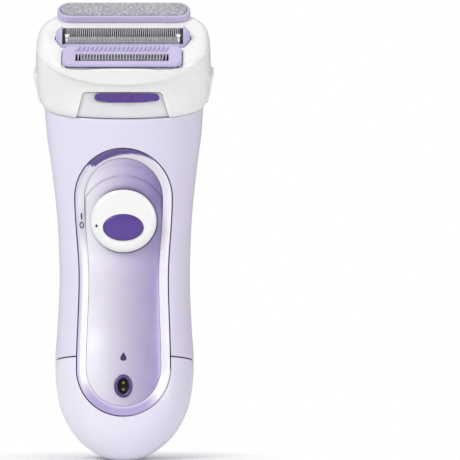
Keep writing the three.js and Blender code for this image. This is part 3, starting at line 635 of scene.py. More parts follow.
def rubber():
    """Dark rubber with a dull bloom."""
    n = Nodes("seal_rubber")
    bloom = n.range(n.noise(300, 5), 0.4, 0.75)
    base = n.mix(bloom, colour("24232A"), colour("38373F"))
    rough = n.range(n.noise(900, 3), 0.3, 0.7, 0.7, 0.88)
    return n.finish(base, rough, n.noise(4200, 3), 0.00001)


def cell_wrap():
    """Shrink sleeve on a cell: green with a plain pale band at each end."""
    n = Nodes("cell_sleeve")
    height = n.range(n.axis("Z"), 0.0372, 0.0857)
    base = n.ramp(height, (0.0, colour("C9CDD0")), (0.05, colour("4F7D52")),
                  (0.9, colour("5B8A5C")), (0.97, colour("CED2D5")))
    streaks = n.range(n.noise(500, 3, 0.5, (1, 1, 0.1)), 0.45, 0.7, 0, 0.3)
    base = n.mix(streaks, base, colour("3F6A45"))
    return n.finish(base, 0.33, n.noise(1600, 3), 0.000008, Coat_Weight=0.3)


MAT = {
    "lilac_shell": handle_lacquer("lilac_lacquer", "E0DEEE", "D6CFE2"),
    "pale_lilac_shell": handle_lacquer("pale_lilac_lacquer", "E9E7F2", "DBD5E6"),
    "white_plastic": moulded("white_gloss", "EBEBE9", "E9E9E7", rough=0.27, grain=600.0,
                             depth=0.000002, Coat_Weight=0.25, Coat_Roughness=0.08),
    "inner_white": moulded("inner_white", "DEDEDC", "CFCFCE", rough=0.5, grain=1800,
                           depth=0.00003),
    "trim_lilac": moulded("trim_lilac", "C5BCDC", "BEB4D7", rough=0.3, Coat_Weight=0.2),
    "panel_lilac": panel_metallic(),
    "purple_plastic": moulded("purple_satin", "583A92", "4D3087", rough=0.34, grain=3000,
                              depth=0.000016, Coat_Weight=0.15),
    "plum_plastic": moulded("plum_gloss", "56417F", "3C2A5F", rough=0.22, Coat_Weight=0.3),
    "black_plastic": moulded("black_satin", "17151B", "24222A", rough=0.45),
    "circuit_laminate": laminate(),
    "seal_rubber": rubber(),
    "shaving_steel": rolled_steel("shaving_steel", "E2E3E6", "B9BBC0", rough=0.3),
    "plain_steel": rolled_steel("plain_steel", "C6C8CC", "9A9CA2", rough=0.34,
                                stretch=(0.05, 0.05, 1)),
    "contact_brass": rolled_steel("contact_brass", "E0C070", "B8923F", rough=0.3),
    "cell_sleeve": cell_wrap(),
    "abrasive_pad": abrasive(),
}
BEZEL = bezel_plastic()
PAD_PLASTIC = moulded("notch_white", "E0E0E1", "D9D9DB", rough=0.3, Coat_Weight=0.3,
                      Coat_Roughness=0.06)
# painted shade: a darker copy of the comb steel for the moving comb, which sits under the fixed
# comb
SHADED_COMB_STEEL = rolled_steel("comb_steel", "BFC0C5", "74757C", rough=0.3)
# painted shade: a near-black copy of the steel for steel seen in shade, the cutter under the foil
# and the foil's plain ends
SHADED_STEEL = rolled_steel("blackened_steel", "4A4A50", "2C2C31", rough=0.45)
INK = moulded("printed_ink", "33264F", "2A1F45", rough=0.5)


# ---------- handle ----------
def eased(distance, r=EASE):
    """How far a skin pulls in this close to its edge, for a rounded edge."""
    reach = np.clip(distance, 0, r)
    return r - np.sqrt(np.maximum(0, r * r - (r - reach) ** 2))


def levels(low, high, step=1.1):
    """Heights of a shell's rings, close together at its two rounded edges."""
    edge = EASE * np.array([0.0, 0.12, 0.35, 1.0])
    return np.concatenate([low + edge, np.arange(low + 1.0, high - 1.0, step), high - edge[::-1]])


def half_skin(front, inset, low, high):
    """The front or rear half of the handle's skin as a grid of points."""
    half, rows = HANDLE_COUNT // 2, []
    for z in levels(low, high):
        w, d = smooth_table(HANDLE_PROFILE, z / HANDLE_L)
        pull = inset + float(eased(min(z - low, high - z)))
        flat = section(w * HANDLE_W / 2 - pull, d * HANDLE_D / 2 - pull, HANDLE_POWER,
                       HANDLE_COUNT)
        flat = flat[np.r_[half:HANDLE_COUNT, 0]] if front else flat[:half + 1]
        limit, gap = (np.minimum, -FIT / 2) if front else (np.maximum, FIT / 2)
        flat[:, 1] = limit(flat[:, 1], gap)
        rows.append(place_points(handle_frame(z), flat))
    return np.array(rows)


def make_shells():
    opening = push_front(panel_outline(-FIT / 2))
    for name, node, front in (("front_shell", "front_housing", True),
                              ("rear_shell", "rear_housing", False)):
        body = slab(half_skin(front, 0, SEAM_Z, HANDLE_L),
                    half_skin(front, WALL, SEAM_Z, HANDLE_L))
        make(name, cut(body, opening) if front else body, "handle", "lilac_shell", node)

    top = SEAM_Z - 2 * FIT
    heights = np.concatenate([[0, 0.12, 0.3, 0.6, 0.95, 1.4, 2, 2.8, 3.7],
                              np.arange(4.7, top - 0.6, 1.0),
                              top - EASE * np.array([1.0, 0.35, 0.12, 0.0])])
    outside = [handle_ring(z, float(eased(top - z))) for z in heights]
    inside = [handle_ring(z, WALL) for z in np.linspace(top, WALL, 24)]
    make("bottom_cup", cut(loft(outside + inside), opening), "handle", "pale_lilac_shell",
         "bottom_shell")


# ---------- front panel ----------
STEP_Z = 81.4    # middle of the steps above the switch
# The bezel's section: in from the panel's outline, and below the handle's surface.
BEZEL_SECTION = [(0.10, 3.6), (0.10, 0.34), (0.13, 0.17), (0.22, 0.08), (0.38, 0.05),
                 (0.60, 0.09), (0.90, 0.25), (1.30, 0.52), (1.80, 0.92), (2.30, 1.33),
                 (2.70, 1.66), (3.00, 1.90), (3.20, 2.02), (3.30, 2.12), (3.30, 3.6)]
PANEL_EDGE = BEZEL_W + 0.12


def panel_depth(x, z):
    """The panel's floor below the handle's surface, with two steps round the switch's top."""
    r = np.hypot(x, z - STEP_Z)
    above = smoothstep(z - STEP_Z, -3, 7)
    outer, inner = 1 - smoothstep(r, 18.9, 19.3), 1 - smoothstep(r, 15.1, 15.5)
    return RECESS + above * (0.3 * outer + 0.5 * inner)


def panel_body():
    outline = panel_outline(PANEL_EDGE, 200, 200)
    right = outline[outline[:, 0] > 0]
    right = right[np.argsort(right[:, 1])]
    low, high = PANEL_LOW + PANEL_EDGE + 0.03, PANEL_TOP - PANEL_EDGE - 0.03
    end = 6 * (1 - np.cos(np.linspace(0, math.pi / 2, 14)))     # rows close up at the ends
    z = np.concatenate([low + end, np.arange(low + 6.6, high - 6.3, 0.33), (high - end)[::-1]])
    half = np.interp(z, right[:, 1], right[:, 0])
    x = half[:, None] * np.sin(np.linspace(-math.pi / 2, math.pi / 2, 73))[None, :]
    z = np.broadcast_to(z[:, None], x.shape)
    return slab(handle_front(x, z, panel_depth(x, z)), handle_front(x, z, RECESS + PANEL_T))


def local_oval(place, half_x, half_u, v, centre_u=0.0, count=96):
    """An oval ring in a local frame, at this v."""
    flat = oval(half_x, half_u, count)
    ring = np.column_stack([flat[:, 0], np.full(count, v), flat[:, 1] + centre_u])
    return place_points(place, ring)


def bezel_painted_shade(points):
    """Painted shade on the bezel: 0 off-white, 0.4 lilac, 0.8 deep purple, 1 a painted shadow line
    round the outside.
    """
    x, z = points[:, 0], points[:, 2]
    high, low = z > CROWN_Z, z < FOOT_Z
    half = np.interp(z, *panel_outline(0)[:91].T[::-1])     # 91 points up the right side
    depth = np.where(high, PANEL_W / 2 - np.hypot(x, z - CROWN_Z),
                     np.where(low, PANEL_LOW_W / 2 - np.hypot(x, z - FOOT_Z), half - np.abs(x)))
    turn = np.degrees(np.arctan2(z - np.where(high, CROWN_Z, FOOT_Z), x))
    # a painted shadow: a deep crescent under the crown, where the wall faces down, wide at the left
    # and running out to the right
    width = 2.5 * smoothstep(turn, 30, 112) * (1 - smoothstep(turn, 131, 139)) + 0.1
    crown = high * (1 - smoothstep(depth, width - 0.3, width + 0.3)) \
        * smoothstep(turn, 25, 60) * 0.86
    # painted shade: a lilac crescent round the foot, stronger at the left
    foot = low * 0.46 * smoothstep(-turn, 28, 62) * (1 - smoothstep(-turn, 130, 176)) \
        * (1 - 0.5 * smoothstep(depth, 2.2, 3.2))
    # painted shade on the left wall, which faces away from the light, over a faint lilac everywhere
    side = 0.07 + (x < 0) * 0.22 * (1 - smoothstep(depth, 0.5, 1.7))
    # a painted shadow: the dark line round the outside, in the gap at the bezel's edge
    line = (1 - smoothstep(depth, 0.24, 0.42)) * np.where(low, smoothstep(-x, -10, 2), 1)
    return np.maximum(np.maximum(crown, foot), np.maximum(side, line))


def make_panel():
    rows = [handle_front(*panel_outline(d).T, h) for d, h in BEZEL_SECTION]
    bezel = make("panel_rim", sweep(rows), "handle", "trim_lilac", "panel_bezel", 50, BEZEL,
                 bezel_painted_shade)

    place, through = handle_frame(SOCKET_Z), (-30, -5)
    hole = loft([local_oval(place, SOCKET_W / 2 + FIT, SOCKET_H / 2 + FIT, v) for v in through])
    slot = block((-STEM_X - RUN, STEM_X + RUN), through,
                 (-STEM_U - RUN, STEM_U + RUN + SWITCH_TRAVEL), handle_frame(SWITCH_Z))
    panel = make("panel_face", cut(panel_body(), hole, slot), "handle", "panel_lilac",
                 "front_panel", 40)

    floor = smooth_table(HANDLE_PROFILE, SOCKET_Z / HANDLE_L)[1] * HANDLE_D / 2 - RECESS
    rim = [(0, 6), (0, -0.35), (0.07, -0.54), (0.22, -0.66), (0.45, -0.70), (0.7, -0.62),
           (0.92, -0.38), (1.06, 0.0), (SOCKET_RIM, 0.4), (SOCKET_RIM, 6)]
    rows = [local_oval(place, SOCKET_W / 2 - d, SOCKET_H / 2 - d, -floor + v) for d, v in rim]
    make("socket_ring", sweep(rows), "handle", "plum_plastic", "socket_bezel", 50)
    return bezel, panel


def make_switch():
    place = handle_frame(SWITCH_Z)
    floor = smooth_table(HANDLE_PROFILE, SWITCH_Z / HANDLE_L)[1] * HANDLE_D / 2 - RECESS
    crown = floor + SWITCH_RISE
    half_x, half_u, count = SWITCH_W / 2, SWITCH_H / 2, 128

    def under(share):
        ring = local_oval(place, half_x * share, half_u * share, -15, 0, count)
        return handle_front(ring[:, 0], ring[:, 2], RECESS - 1.5 * RUN)

    def over(t, height):
        """Rings from the cap's shoulder, t 0, to the edge of the thumb pad, t 1."""
        a = oval(half_x * 0.89, half_u * 0.89, count)
        b = oval((PAD_W + FIT) / 2, (PAD_H + FIT) / 2, count) + [0, -PAD_DROP]
        flat = a + (b - a) * t
        ring = np.column_stack([flat[:, 0], np.full(count, -height), flat[:, 1]])
        return place_points(place, ring)

    shoulder = [(1, crown - 1.75), (0.995, crown - 1.4), (0.98, crown - 1.1),
                (0.955, crown - 0.84), (0.925, crown - 0.64)]
    top = [(0, 0.48), (0.15, 0.36), (0.35, 0.26), (0.55, 0.23), (0.72, 0.27), (0.82, 0.30),
           (0.89, 0.22), (0.94, 0.10), (0.98, 0.08), (1.0, 0.16), (1.0, 1.1)]
    rows = [under(0.5), under(0.97), under(1.0)]
    rows += [local_oval(place, half_x * s, half_u * s, -h, 0, count) for s, h in shoulder]
    rows += [over(t, crown - d) for t, d in top]
    stem = block((-STEM_X, STEM_X), (-floor - 1, -10.6), (-STEM_U, STEM_U), place)
    make("switch_cap", joined(loft(rows), stem), "switch", "white_plastic", "switch_slider", 50)

    # a painted shadow: a dark ring set off to the lower right, that shows as a dark line round the
    # lower right of the cap
    aside = shifted(place, 0.14, 0, -0.16)

    def skirt(grow, rise):
        ring = local_oval(aside, half_x + grow, half_u + grow, -15, 0, count)
        return handle_front(ring[:, 0], ring[:, 2], RECESS - rise)

    rows = [skirt(*row) for row in ((0.22, 0.45), (0.3, 0.8), (0.2, 1.15), (-0.5, 1.15),
                                    (-0.5, 0.45))]
    make("cap_skirt", sweep(rows), "switch", "plum_plastic", angle=50)

    pad = [(1, -1.0), (1, -0.42), (0.985, -0.2), (0.955, -0.05), (0.89, 0.06), (0.75, 0.15),
           (0.5, 0.21), (0.25, 0.24)]
    rows = [local_oval(place, PAD_W / 2 * s, PAD_H / 2 * s, -crown - h, -PAD_DROP, count)
            for s, h in pad]
    make("thumb_pad", loft(rows), "switch", "purple_plastic", "switch_pad", 50)


MARK_OUT, MARK_IN, ASIDE = 0.035, -0.05, 0.16   # a mark's two faces; how far rays try aside


def printed(name, loops, targets, rides):
    """A thin mark laid on the front of the given pieces; loops are one or two outlines in
    (x, z)."""
    trees = []
    for target in targets:
        bm = bmesh.new()
        bm.from_mesh(target.data)
        trees.append(BVHTree.FromBMesh(bm))
        bm.free()

    def laid(outline, out):
        points = []
        for x, z in outline:
            hits = [t.ray_cast(Vector(((x + aside) * MM, -0.08, z * MM)), Vector((0, 1, 0)))[0]
                    for t in trees for aside in (0, ASIDE, -ASIDE)]
            y = min(h.y for h in hits if h is not None) / MM - SHIFT
            points.append((x, y - out, z))
        return np.array(points)

    rows = [laid(loops[0], MARK_IN), laid(loops[0], MARK_OUT)]
    if len(loops) > 1:
        rows += [laid(loops[1], MARK_OUT), laid(loops[1], MARK_IN)]
    body = sweep(rows) if len(loops) > 1 else loft(rows)
    return make(name, body, rides, "purple_plastic", material=INK)


def make_marks(bezel, panel):
    on_place, off_place, drop_place, dot_place = [-14.35, 83.0], [-14.3, 79.95], [0, 35.4], \
        [-9.1, 79.7]
    printed("on_mark", [rounded_box(0.2, 1.05, 0.18) + on_place], [bezel, panel], "handle")
    printed("off_mark", [oval(0.72, 1.12, 48) + off_place, oval(0.42, 0.8, 48) + off_place],
            [bezel, panel], "handle")
    t = np.linspace(0, 2 * math.pi, 48, endpoint=False)
    drop = np.column_stack([1.55 * np.sin(t) * np.sin(t / 2) ** 1.6, 1.5 * np.cos(t)])
    printed("water_mark", [drop + drop_place], [panel], "handle")
    printed("switch_dot", [oval(0.42, 0.5, 32) + dot_place], [bpy.data.objects["switch_cap"]],
            "switch")


# ---------- head ----------
def flat_ring(outline, place, u):
    return place_points(place, np.column_stack([outline, np.full(len(outline), u)]))


def pointed(gap):
    """The foil cassette's outline in (x, v): straight sides, ends drawn to a blunt point."""
    half_x, half_v = CASSETTE_W / 2 + gap, CASSETTE_D / 2 + gap
    shoulder = FOIL_W / 2 + 0.1 + gap * 0.4
    right = np.array([(half_x, 0.0), (half_x, 0.5), (half_x - 0.12, 0.9),
                      (shoulder + 0.35, half_v - 0.35),
                      (shoulder, half_v)])
    upper = np.vstack([right, right[::-1] * [-1, 1]])
    outline = np.vstack([upper, upper[::-1][1:-1] * [1, -1]])
    return outline + [0, FOIL_V]


def grown(flat, amount):
    """The points of a section moved outwards."""
    along = np.roll(flat, -1, 0) - np.roll(flat, 1, 0)
    out = np.column_stack([along[:, 1], -along[:, 0], np.zeros(len(flat))])
    return flat + out / np.linalg.norm(out, axis=1)[:, None] * np.asarray(amount).reshape(-1, 1)


def head_skin(share):
    """One ring of the head's outside, with its rounded rim and the bulging lip at the front."""
    w, d, power = smooth_table(HEAD_PROFILE, share)
    flat = section(w * HEAD_W / 2, d * HEAD_D / 2, power, HEAD_COUNT)
    place = head_frame(share)
    x, v = flat[:, 0], flat[:, 1]
    rise = (place_points(place, flat) - FACE[:3, 3]) @ FACE_UP
    edge = LIP_U + LIP_END * (x / 24.5) ** 2
    lip = smoothstep(rise - edge, -0.16, 0.16) * (1 - 0.35 * smoothstep(rise - edge, 0, 4))
    lip = LIP_OUT * lip * (1 - smoothstep(np.abs(x), 20, 28)) * smoothstep(-v, 2, 9)
    r = 1.1 + 1.5 * (np.abs(x) / x.max()) ** 2
    arc = HEAD_R * (HEAD_TILT - JOINT_TILT)
    rim = r - np.sqrt(np.maximum(0, r * r - np.maximum(0, r - (1 - share) * arc) ** 2))
    foot = float(eased((share - 0.015) * arc, 0.3))
    return place_points(place, grown(flat, lip - rim - foot))


def notch_outline(gap, r=1.5):
    """The window for the trimmer lock at the head's front, in (x, z); its sides flare at the
    foot."""
    slope, flare_z = (NOTCH_LOW_W - NOTCH_TOP_W) / 2 / 7.4, 117.6

    def half(z):
        return NOTCH_TOP_W / 2 + gap + slope * (NOTCH_TOP - z) \
            + 0.16 * np.maximum(0, flare_z - z) ** 2
    r = r + gap
    t = np.linspace(0, math.pi / 2, 9)
    straight = np.linspace(111, NOTCH_TOP + gap - r, 24)[:-1]
    z = np.concatenate([straight, NOTCH_TOP + gap - r + r * np.sin(t)])
    x = np.concatenate([half(z[:23]), half(z[23]) - r + r * np.cos(t)])
    right = np.column_stack([x, z])
    return np.vstack([right, right[::-1] * [-1, 1]])


def button_block(sign, grow, reach):
    x = reach if sign > 0 else (-reach[1], -reach[0])
    half_v, half_u = BUTTON_D / 2 + grow, BUTTON_H / 2 + grow
    return block(x, (-half_v, half_v), (-half_u, half_u), head_frame(BUTTON_SHARE))


def make_head_shell():
    shares = np.concatenate([[0.015, 0.018, 0.022, 0.028], np.linspace(0.038, 0.9, 150),
                             np.linspace(0.905, 0.985, 16), [0.99, 0.994, 0.9975, 1.0]])
    inside = [head_ring(s, HEAD_WALL) for s in np.linspace(0.93, 0.015, 24)]
    body = loft(inside + [head_skin(s) for s in shares])
    middle = (GUARD_FRONT + GUARD_BACK) / 2 + 0.15
    half_v = (GUARD_BACK - GUARD_FRONT) / 2 + RUN + 0.15
    sink = rounded_box(GUARD_W / 2 + RUN, half_v, 3.0, 12, 30) + [0, middle]
    mouth, low, high, beside = pointed(RUN), -8, 6, (24, 40)
    tools = [loft([flat_ring(mouth, FACE, low), flat_ring(mouth, FACE, high)]),
             block((-GUARD_W / 2 + 1, GUARD_W / 2 - 1), (GUARD_FRONT + 1.3, FOIL_V),
                   (low, high), FACE),
             loft([flat_ring(sink, FACE, -GUARD_FLOAT - RUN), flat_ring(sink, FACE, high)]),
             push_front(notch_outline(0)), button_block(1, RUN, beside),
             button_block(-1, RUN, beside)]
    make("head_cover", cut(body, *tools), "head", "white_plastic", "head_shell")


def front_place(z):
    """The frame on the head's front at a height, x to the right and v into the head."""
    reach = 1.5
    here, low, high = head_front(np.zeros(3), np.array([z, z - reach, z + reach]), 0.0)
    return frame_at(here[1], z, math.atan2(low[1] - high[1], 2 * reach))


LOCK_MIDDLE = NOTCH_TOP - 0.6 - LOCK_H / 2


def make_notch_pad():
    x = np.linspace(-18, 18, 97)
    share, skin = 0.03, 0.7
    w, d, power = smooth_table(HEAD_PROFILE, share)
    _, level, tilt = head_spine(share)
    foot = section_front(x, w * HEAD_W / 2 - skin, d * HEAD_D / 2 - skin, power)
    low = (level + foot * math.sin(tilt))[None, :]
    t = np.concatenate([[0, 0.01, 0.03, 0.06], np.linspace(0.1, 1, 34)])[:, None]
    z = low + (NOTCH_TOP - low) * t
    x = np.broadcast_to(x, z.shape)
    body = slab(head_front(x, z, skin + eased(z - low, 0.5)), head_front(x, z, 2.6))
    half = LOCK_H / 2
    groove = block((-NOTCH_TOP_W, NOTCH_TOP_W), (-6, LOCK_DEPTH + 0.3), (-half - RUN, half + 6),
                   front_place(LOCK_MIDDLE))
    body = cut(common(body, push_front(notch_outline(-0.14))), groove)
    make("notch_pad", body, "head", "white_plastic", "head_base", material=PAD_PLASTIC)


def make_lock():
    base = rounded_box(LOCK_W / 2, LOCK_H / 2, 1.25, 10, 70)

    def ring(inset, height):
        """One ring of the slider, slim to its lower ends, with a rib across its middle."""
        flat = base * [1 - inset / (LOCK_W / 2), 1 - inset / (LOCK_H / 2)]
        aside = np.abs(flat[:, 0])
        slim = np.where(flat[:, 1] < 0, 1 - 0.42 * smoothstep(aside, 2, LOCK_W / 2), 1)
        rib = 0.5 * (1 - smoothstep(aside, 1.1, 1.6)) * (height > -0.5)
        groove = 0.12 * smoothstep(aside, 1.5, 1.9) * (1 - smoothstep(aside, 2.1, 2.6)) \
            * (height > 0.1)
        return head_front(flat[:, 0] + LOCK_X, flat[:, 1] * slim + LOCK_MIDDLE,
                          -(height + rib - groove))

    rows = [ring(*row) for row in ((0.5, -0.9), (0.0, -0.9), (0.0, -0.1), (0.05, 0.08),
                                   (0.16, 0.19), (0.34, 0.25), (0.7, 0.28))]
    make("lock_slide", loft(rows), "lock", "purple_plastic", "trimmer_lock", 45)


def make_buttons():
    heights = np.array([-6, 2.9, 4.1, 6.3])
    reach = HEAD_W / 2 + np.array([-1.1, 0.4, 1.0, 0.7])
    place = head_frame(BUTTON_SHARE)
    box = lambda d: rounded_box(BUTTON_D / 2 - d, BUTTON_H / 2 - d, 1.3 - d * 0.6, 10, 24)
    for side, sign in (("left", -1), ("right", 1)):
        def ring(outline, x_off=0.0, x=None):
            v, u = outline.T
            out = np.interp(u, heights, reach) + x_off if x is None else np.full(len(v), x)
            return place_points(place, np.column_stack([sign * out, v, u]))

        rows = [ring(box(0), x=22.0)]
        rows += [ring(box(d), off) for d, off in ((0, -1.2), (0, -0.55), (0.08, -0.27),
                                                  (0.28, -0.08), (0.6, 0.0), (1.6, 0.02))]
        grips = []
        for u in (-2.6, -1.0, 0.6, 2.2):
            bar = rounded_box(3.2, 0.32, 0.3, 5, 16) + [0, u]
            slim = rounded_box(3.0, 0.14, 0.13, 5, 16) + [0, u]
            grips.append(loft([ring(bar, -0.3), ring(bar, 0.10), ring(slim, 0.24)]))
        make(f"side_button_{side}", joined(loft(rows), *grips), f"button_{side}",
             "white_plastic", f"release_button_{side}", 45)


# ---------- repeated detail ----------
def repeat_group():
    """Lays a piece out in columns and rows, with some scatter, as one mesh."""
    group = bpy.data.node_groups.new("repeat_piece", "GeometryNodeTree")
    face = group.interface
    whole, real = "NodeSocketInt", "NodeSocketFloat"
    for name, kind, value in (("Piece", "NodeSocketGeometry", None), ("Columns", whole, 2),
                              ("Rows", whole, 2), ("Step X", real, 1.0), ("Step Y", real, 1.0),
                              ("Stagger", real, 0.0), ("Jitter", real, 0.0),
                              ("Turn", real, 0.0), ("Smallest", real, 1.0),
                              ("Largest", real, 1.0), ("Seed", whole, 1),
                              ("Finish", "NodeSocketMaterial", None)):
        socket = face.new_socket(name=name, in_out="INPUT", socket_type=kind)
        if value is not None:
            socket.default_value = value
    face.new_socket(name="Geometry", in_out="OUTPUT", socket_type="NodeSocketGeometry")
    link = group.links.new

    def add(kind, **values):
        return added(group, kind, **values)

    given, out = add("NodeGroupInput").outputs, add("NodeGroupOutput")

    def maths(operation, a, b):
        node = add("ShaderNodeMath", operation=operation)
        for socket, value in zip(node.inputs, (a, b)):
            feed(group, socket, value)
        return node.outputs[0]

    def vector(x=0.0, y=0.0, z=0.0):
        node = add("ShaderNodeCombineXYZ")
        for socket, value in zip(node.inputs, (x, y, z)):
            feed(group, socket, value)
        return node.outputs[0]

    def chance(kind, low, high, offset):
        node = add("FunctionNodeRandomValue", data_type=kind)
        sockets = [s for s in node.inputs if s.enabled]
        link(low, sockets[0])
        link(high, sockets[1])
        seed = next(s for s in node.inputs if s.name == "Seed")
        link(maths("ADD", given["Seed"], offset), seed)
        return next(s for s in node.outputs if s.enabled)

    across = add("GeometryNodeMeshLine", mode="OFFSET")
    link(given["Columns"], across.inputs["Count"])
    link(vector(given["Step X"]), across.inputs["Offset"])
    down = add("GeometryNodeMeshLine", mode="OFFSET")
    link(given["Rows"], down.inputs["Count"])
    link(vector(0.0, given["Step Y"]), down.inputs["Offset"])
    lattice = add("GeometryNodeInstanceOnPoints")
    link(down.outputs[0], lattice.inputs["Points"])
    link(across.outputs[0], lattice.inputs["Instance"])
    points = add("GeometryNodeRealizeInstances")
    link(lattice.outputs[0], points.inputs[0])

    here = add("ShaderNodeSeparateXYZ")
    link(add("GeometryNodeInputPosition").outputs[0], here.inputs[0])
    row = maths("ROUND", maths("DIVIDE", here.outputs["Y"], given["Step Y"]), 0.0)
    aside = maths("MULTIPLY", maths("MODULO", row, 2.0), given["Stagger"])
    jitter = given["Jitter"]
    back = maths("MULTIPLY", jitter, -1.0)
    scatter = add("ShaderNodeVectorMath", operation="ADD")
    link(vector(aside), scatter.inputs[0])
    shake = chance("FLOAT_VECTOR", vector(back, back), vector(jitter, jitter), 0.0)
    link(shake, scatter.inputs[1])
    placed = add("GeometryNodeSetPosition")
    link(points.outputs[0], placed.inputs["Geometry"])
    link(scatter.outputs[0], placed.inputs["Offset"])

    pieces = add("GeometryNodeInstanceOnPoints")
    link(placed.outputs[0], pieces.inputs["Points"])
    link(given["Piece"], pieces.inputs["Instance"])
    turn = given["Turn"]
    turned = chance("FLOAT_VECTOR", vector(), vector(turn, turn, turn), 7.0)
    link(turned, pieces.inputs["Rotation"])
    scale = chance("FLOAT", given["Smallest"], given["Largest"], 13.0)
    link(scale, pieces.inputs["Scale"])
    real = add("GeometryNodeRealizeInstances")
    link(pieces.outputs[0], real.inputs[0])
    merged = add("GeometryNodeMergeByDistance")
    merged.inputs["Distance"].default_value = 1e-4
    link(real.outputs[0], merged.inputs["Geometry"])
    dressed = add("GeometryNodeSetMaterial")
    link(merged.outputs[0], dressed.inputs["Geometry"])
    link(given["Finish"], dressed.inputs["Material"])
    link(dressed.outputs[0], out.inputs[0])
    return group


REPEAT = repeat_group()


def repeated(piece, **values):
    """The body made by laying a piece out; values are the group's inputs, by name."""
    obj = added_object("work", rough_mesh(piece))
    mod = obj.modifiers.new("repeat", "NODES")
    mod.node_group = REPEAT
    for item in REPEAT.interface.items_tree:
        if item.in_out == "INPUT" and item.name.replace(" ", "_") in values:
            mod[item.identifier] = values[item.name.replace(" ", "_")]
    return body_of(baked(obj))


def hole_cell(width, height, hole_w, hole_h):
    """One flat cell with a round-ended hole; its rim points meet those of the next cell."""
    edge = np.array([width / 2, height / 2])
    if hole_h > 2 * hole_w:
        hole = rounded_box(hole_w / 2, hole_h / 2, hole_w * 0.49, 3, 2)
    else:
        hole = oval(hole_w / 2, hole_h / 2, 16)
    rim = hole / np.max(np.abs(hole) / edge, axis=1)[:, None]
    n = len(hole)
    corner = np.abs(rim[np.argmin(np.linalg.norm(np.abs(rim) - edge, axis=1))])
    near = np.linalg.norm(np.abs(rim) - corner, axis=1) < 1e-6
    rim[near] = np.sign(rim[near]) * edge
    points = np.vstack([rim, hole])
    faces = [(k, (k + 1) % n, n + (k + 1) % n, n + k) for k in range(n)]
    return np.column_stack([points, np.zeros(2 * n)]), faces


def thickened(body, thickness):
    """A closed sheet of this thickness from an open one."""
    obj = added_object("work", rough_mesh(body))
    mod = obj.modifiers.new("thickness", "SOLIDIFY")
    mod.thickness, mod.offset, mod.use_even_offset = thickness, -1.0, False
    return body_of(baked(obj))


# ---------- foil ----------
FOIL_RUN = math.pi * math.sqrt(((FOIL_D / 2) ** 2 + FOIL_RISE ** 2) / 2)   # about the arch's length
MESH_RUN, SLIT_RUN, HOLES_W = 2.30, 5.40, 38.5      # the bands along the arch, and their width
RIM_IN, RIM_OUT = 19.25, FOIL_W / 2 - 0.02
# one end cap's rings: x, share of the depth, and how much higher than the foil
CAP_RINGS = [(FOIL_W / 2 + 0.1, 0.985, 0.5), (FOIL_W / 2 + 0.25, 1, 0.6),
             (FOIL_W / 2 + 0.7, 0.87, 0.5), (FOIL_W / 2 + 1.2, 0.69, 0.3),
             (CASSETTE_W / 2 - 0.7, 0.53, 0.0), (CASSETTE_W / 2 - 0.3, 0.42, -0.3),
             (CASSETTE_W / 2 - 0.1, 0.3, -0.6)]
# a clip's four corners: x, and the share of the way over the arch
CLIP_CORNERS = np.array([[18.75, 0.09], [19.15, 0.09], [19.5, 0.33], [18.0, 0.33]])


def arch_row(x, share, half_depth=FOIL_D / 2, rise=FOIL_RISE):
    """Points over the foil's arch, at this x."""
    v, u = arch(share, half_depth, rise)
    return place_points(FACE, np.column_stack([np.broadcast_to(x, v.shape), v, u]))


def foil_band(columns, rows, run, hole_w, hole_h, start):
    """A band of holes over the arch: it starts this far along it and is run long."""
    step_x, step_y = HOLES_W / columns, run / rows
    points, faces = repeated(hole_cell(step_x, step_y, hole_w, hole_h), Columns=columns,
                             Rows=rows, Step_X=step_x, Step_Y=step_y)
    points = points + [-(columns - 1) * step_x / 2, step_y / 2, 0]
    share = np.clip((points[:, 1] + start) / FOIL_RUN, 0, 1)
    return thickened((arch_row(points[:, 0], share), faces), FOIL_T)


def foil_rim(sign):
    """The plain end of the foil past its holes."""
    n, rows = 40, []
    for x, drop in ((RIM_IN, 0), (RIM_OUT, 0), (RIM_OUT, FOIL_T), (RIM_IN, FOIL_T)):
        rows.append(arch_row(sign * x, np.linspace(0, 1, n), FOIL_D / 2 - drop,
                             FOIL_RISE - drop))
    faces = [(0, n, 2 * n, 3 * n), (n - 1, 4 * n - 1, 3 * n - 1, 2 * n - 1)]
    for a, b in ((0, n), (n, 2 * n), (2 * n, 3 * n), (3 * n, 0)):
        faces += [(a + k, a + k + 1, b + k + 1, b + k) for k in range(n - 1)]
    return np.vstack(rows), faces


def foil_cap(sign):
    """The rounded cap beside the foil, running down to the cassette's point."""
    n, faces = 48, []
    rows = [arch_row(sign * x, np.linspace(0, 1, n), (FOIL_D / 2 + 0.9) * share, FOIL_RISE + more)
            for x, share, more in CAP_RINGS]
    last = (len(rows) - 1) * n
    for a in range(0, last, n):
        faces += [(a + k, a + k + 1, a + k + n + 1, a + k + n) for k in range(n - 1)]
        faces.append((a, a + n, a + 2 * n - 1, a + n - 1))
    return np.vstack(rows), faces + [tuple(range(n)), tuple(range(last, last + n))]


def foil_clip(sign):
    """The white corner clip that holds one end of the foil."""
    x, share = CLIP_CORNERS.T
    rows = [arch_row(sign * x, share, FOIL_D / 2 + out, FOIL_RISE + out) for out in (0.02, 0.22)]
    sides = [(k, (k + 1) % 4, 4 + (k + 1) % 4, 4 + k) for k in range(4)]
    return np.vstack(rows), [(0, 1, 2, 3), (4, 7, 6, 5)] + sides


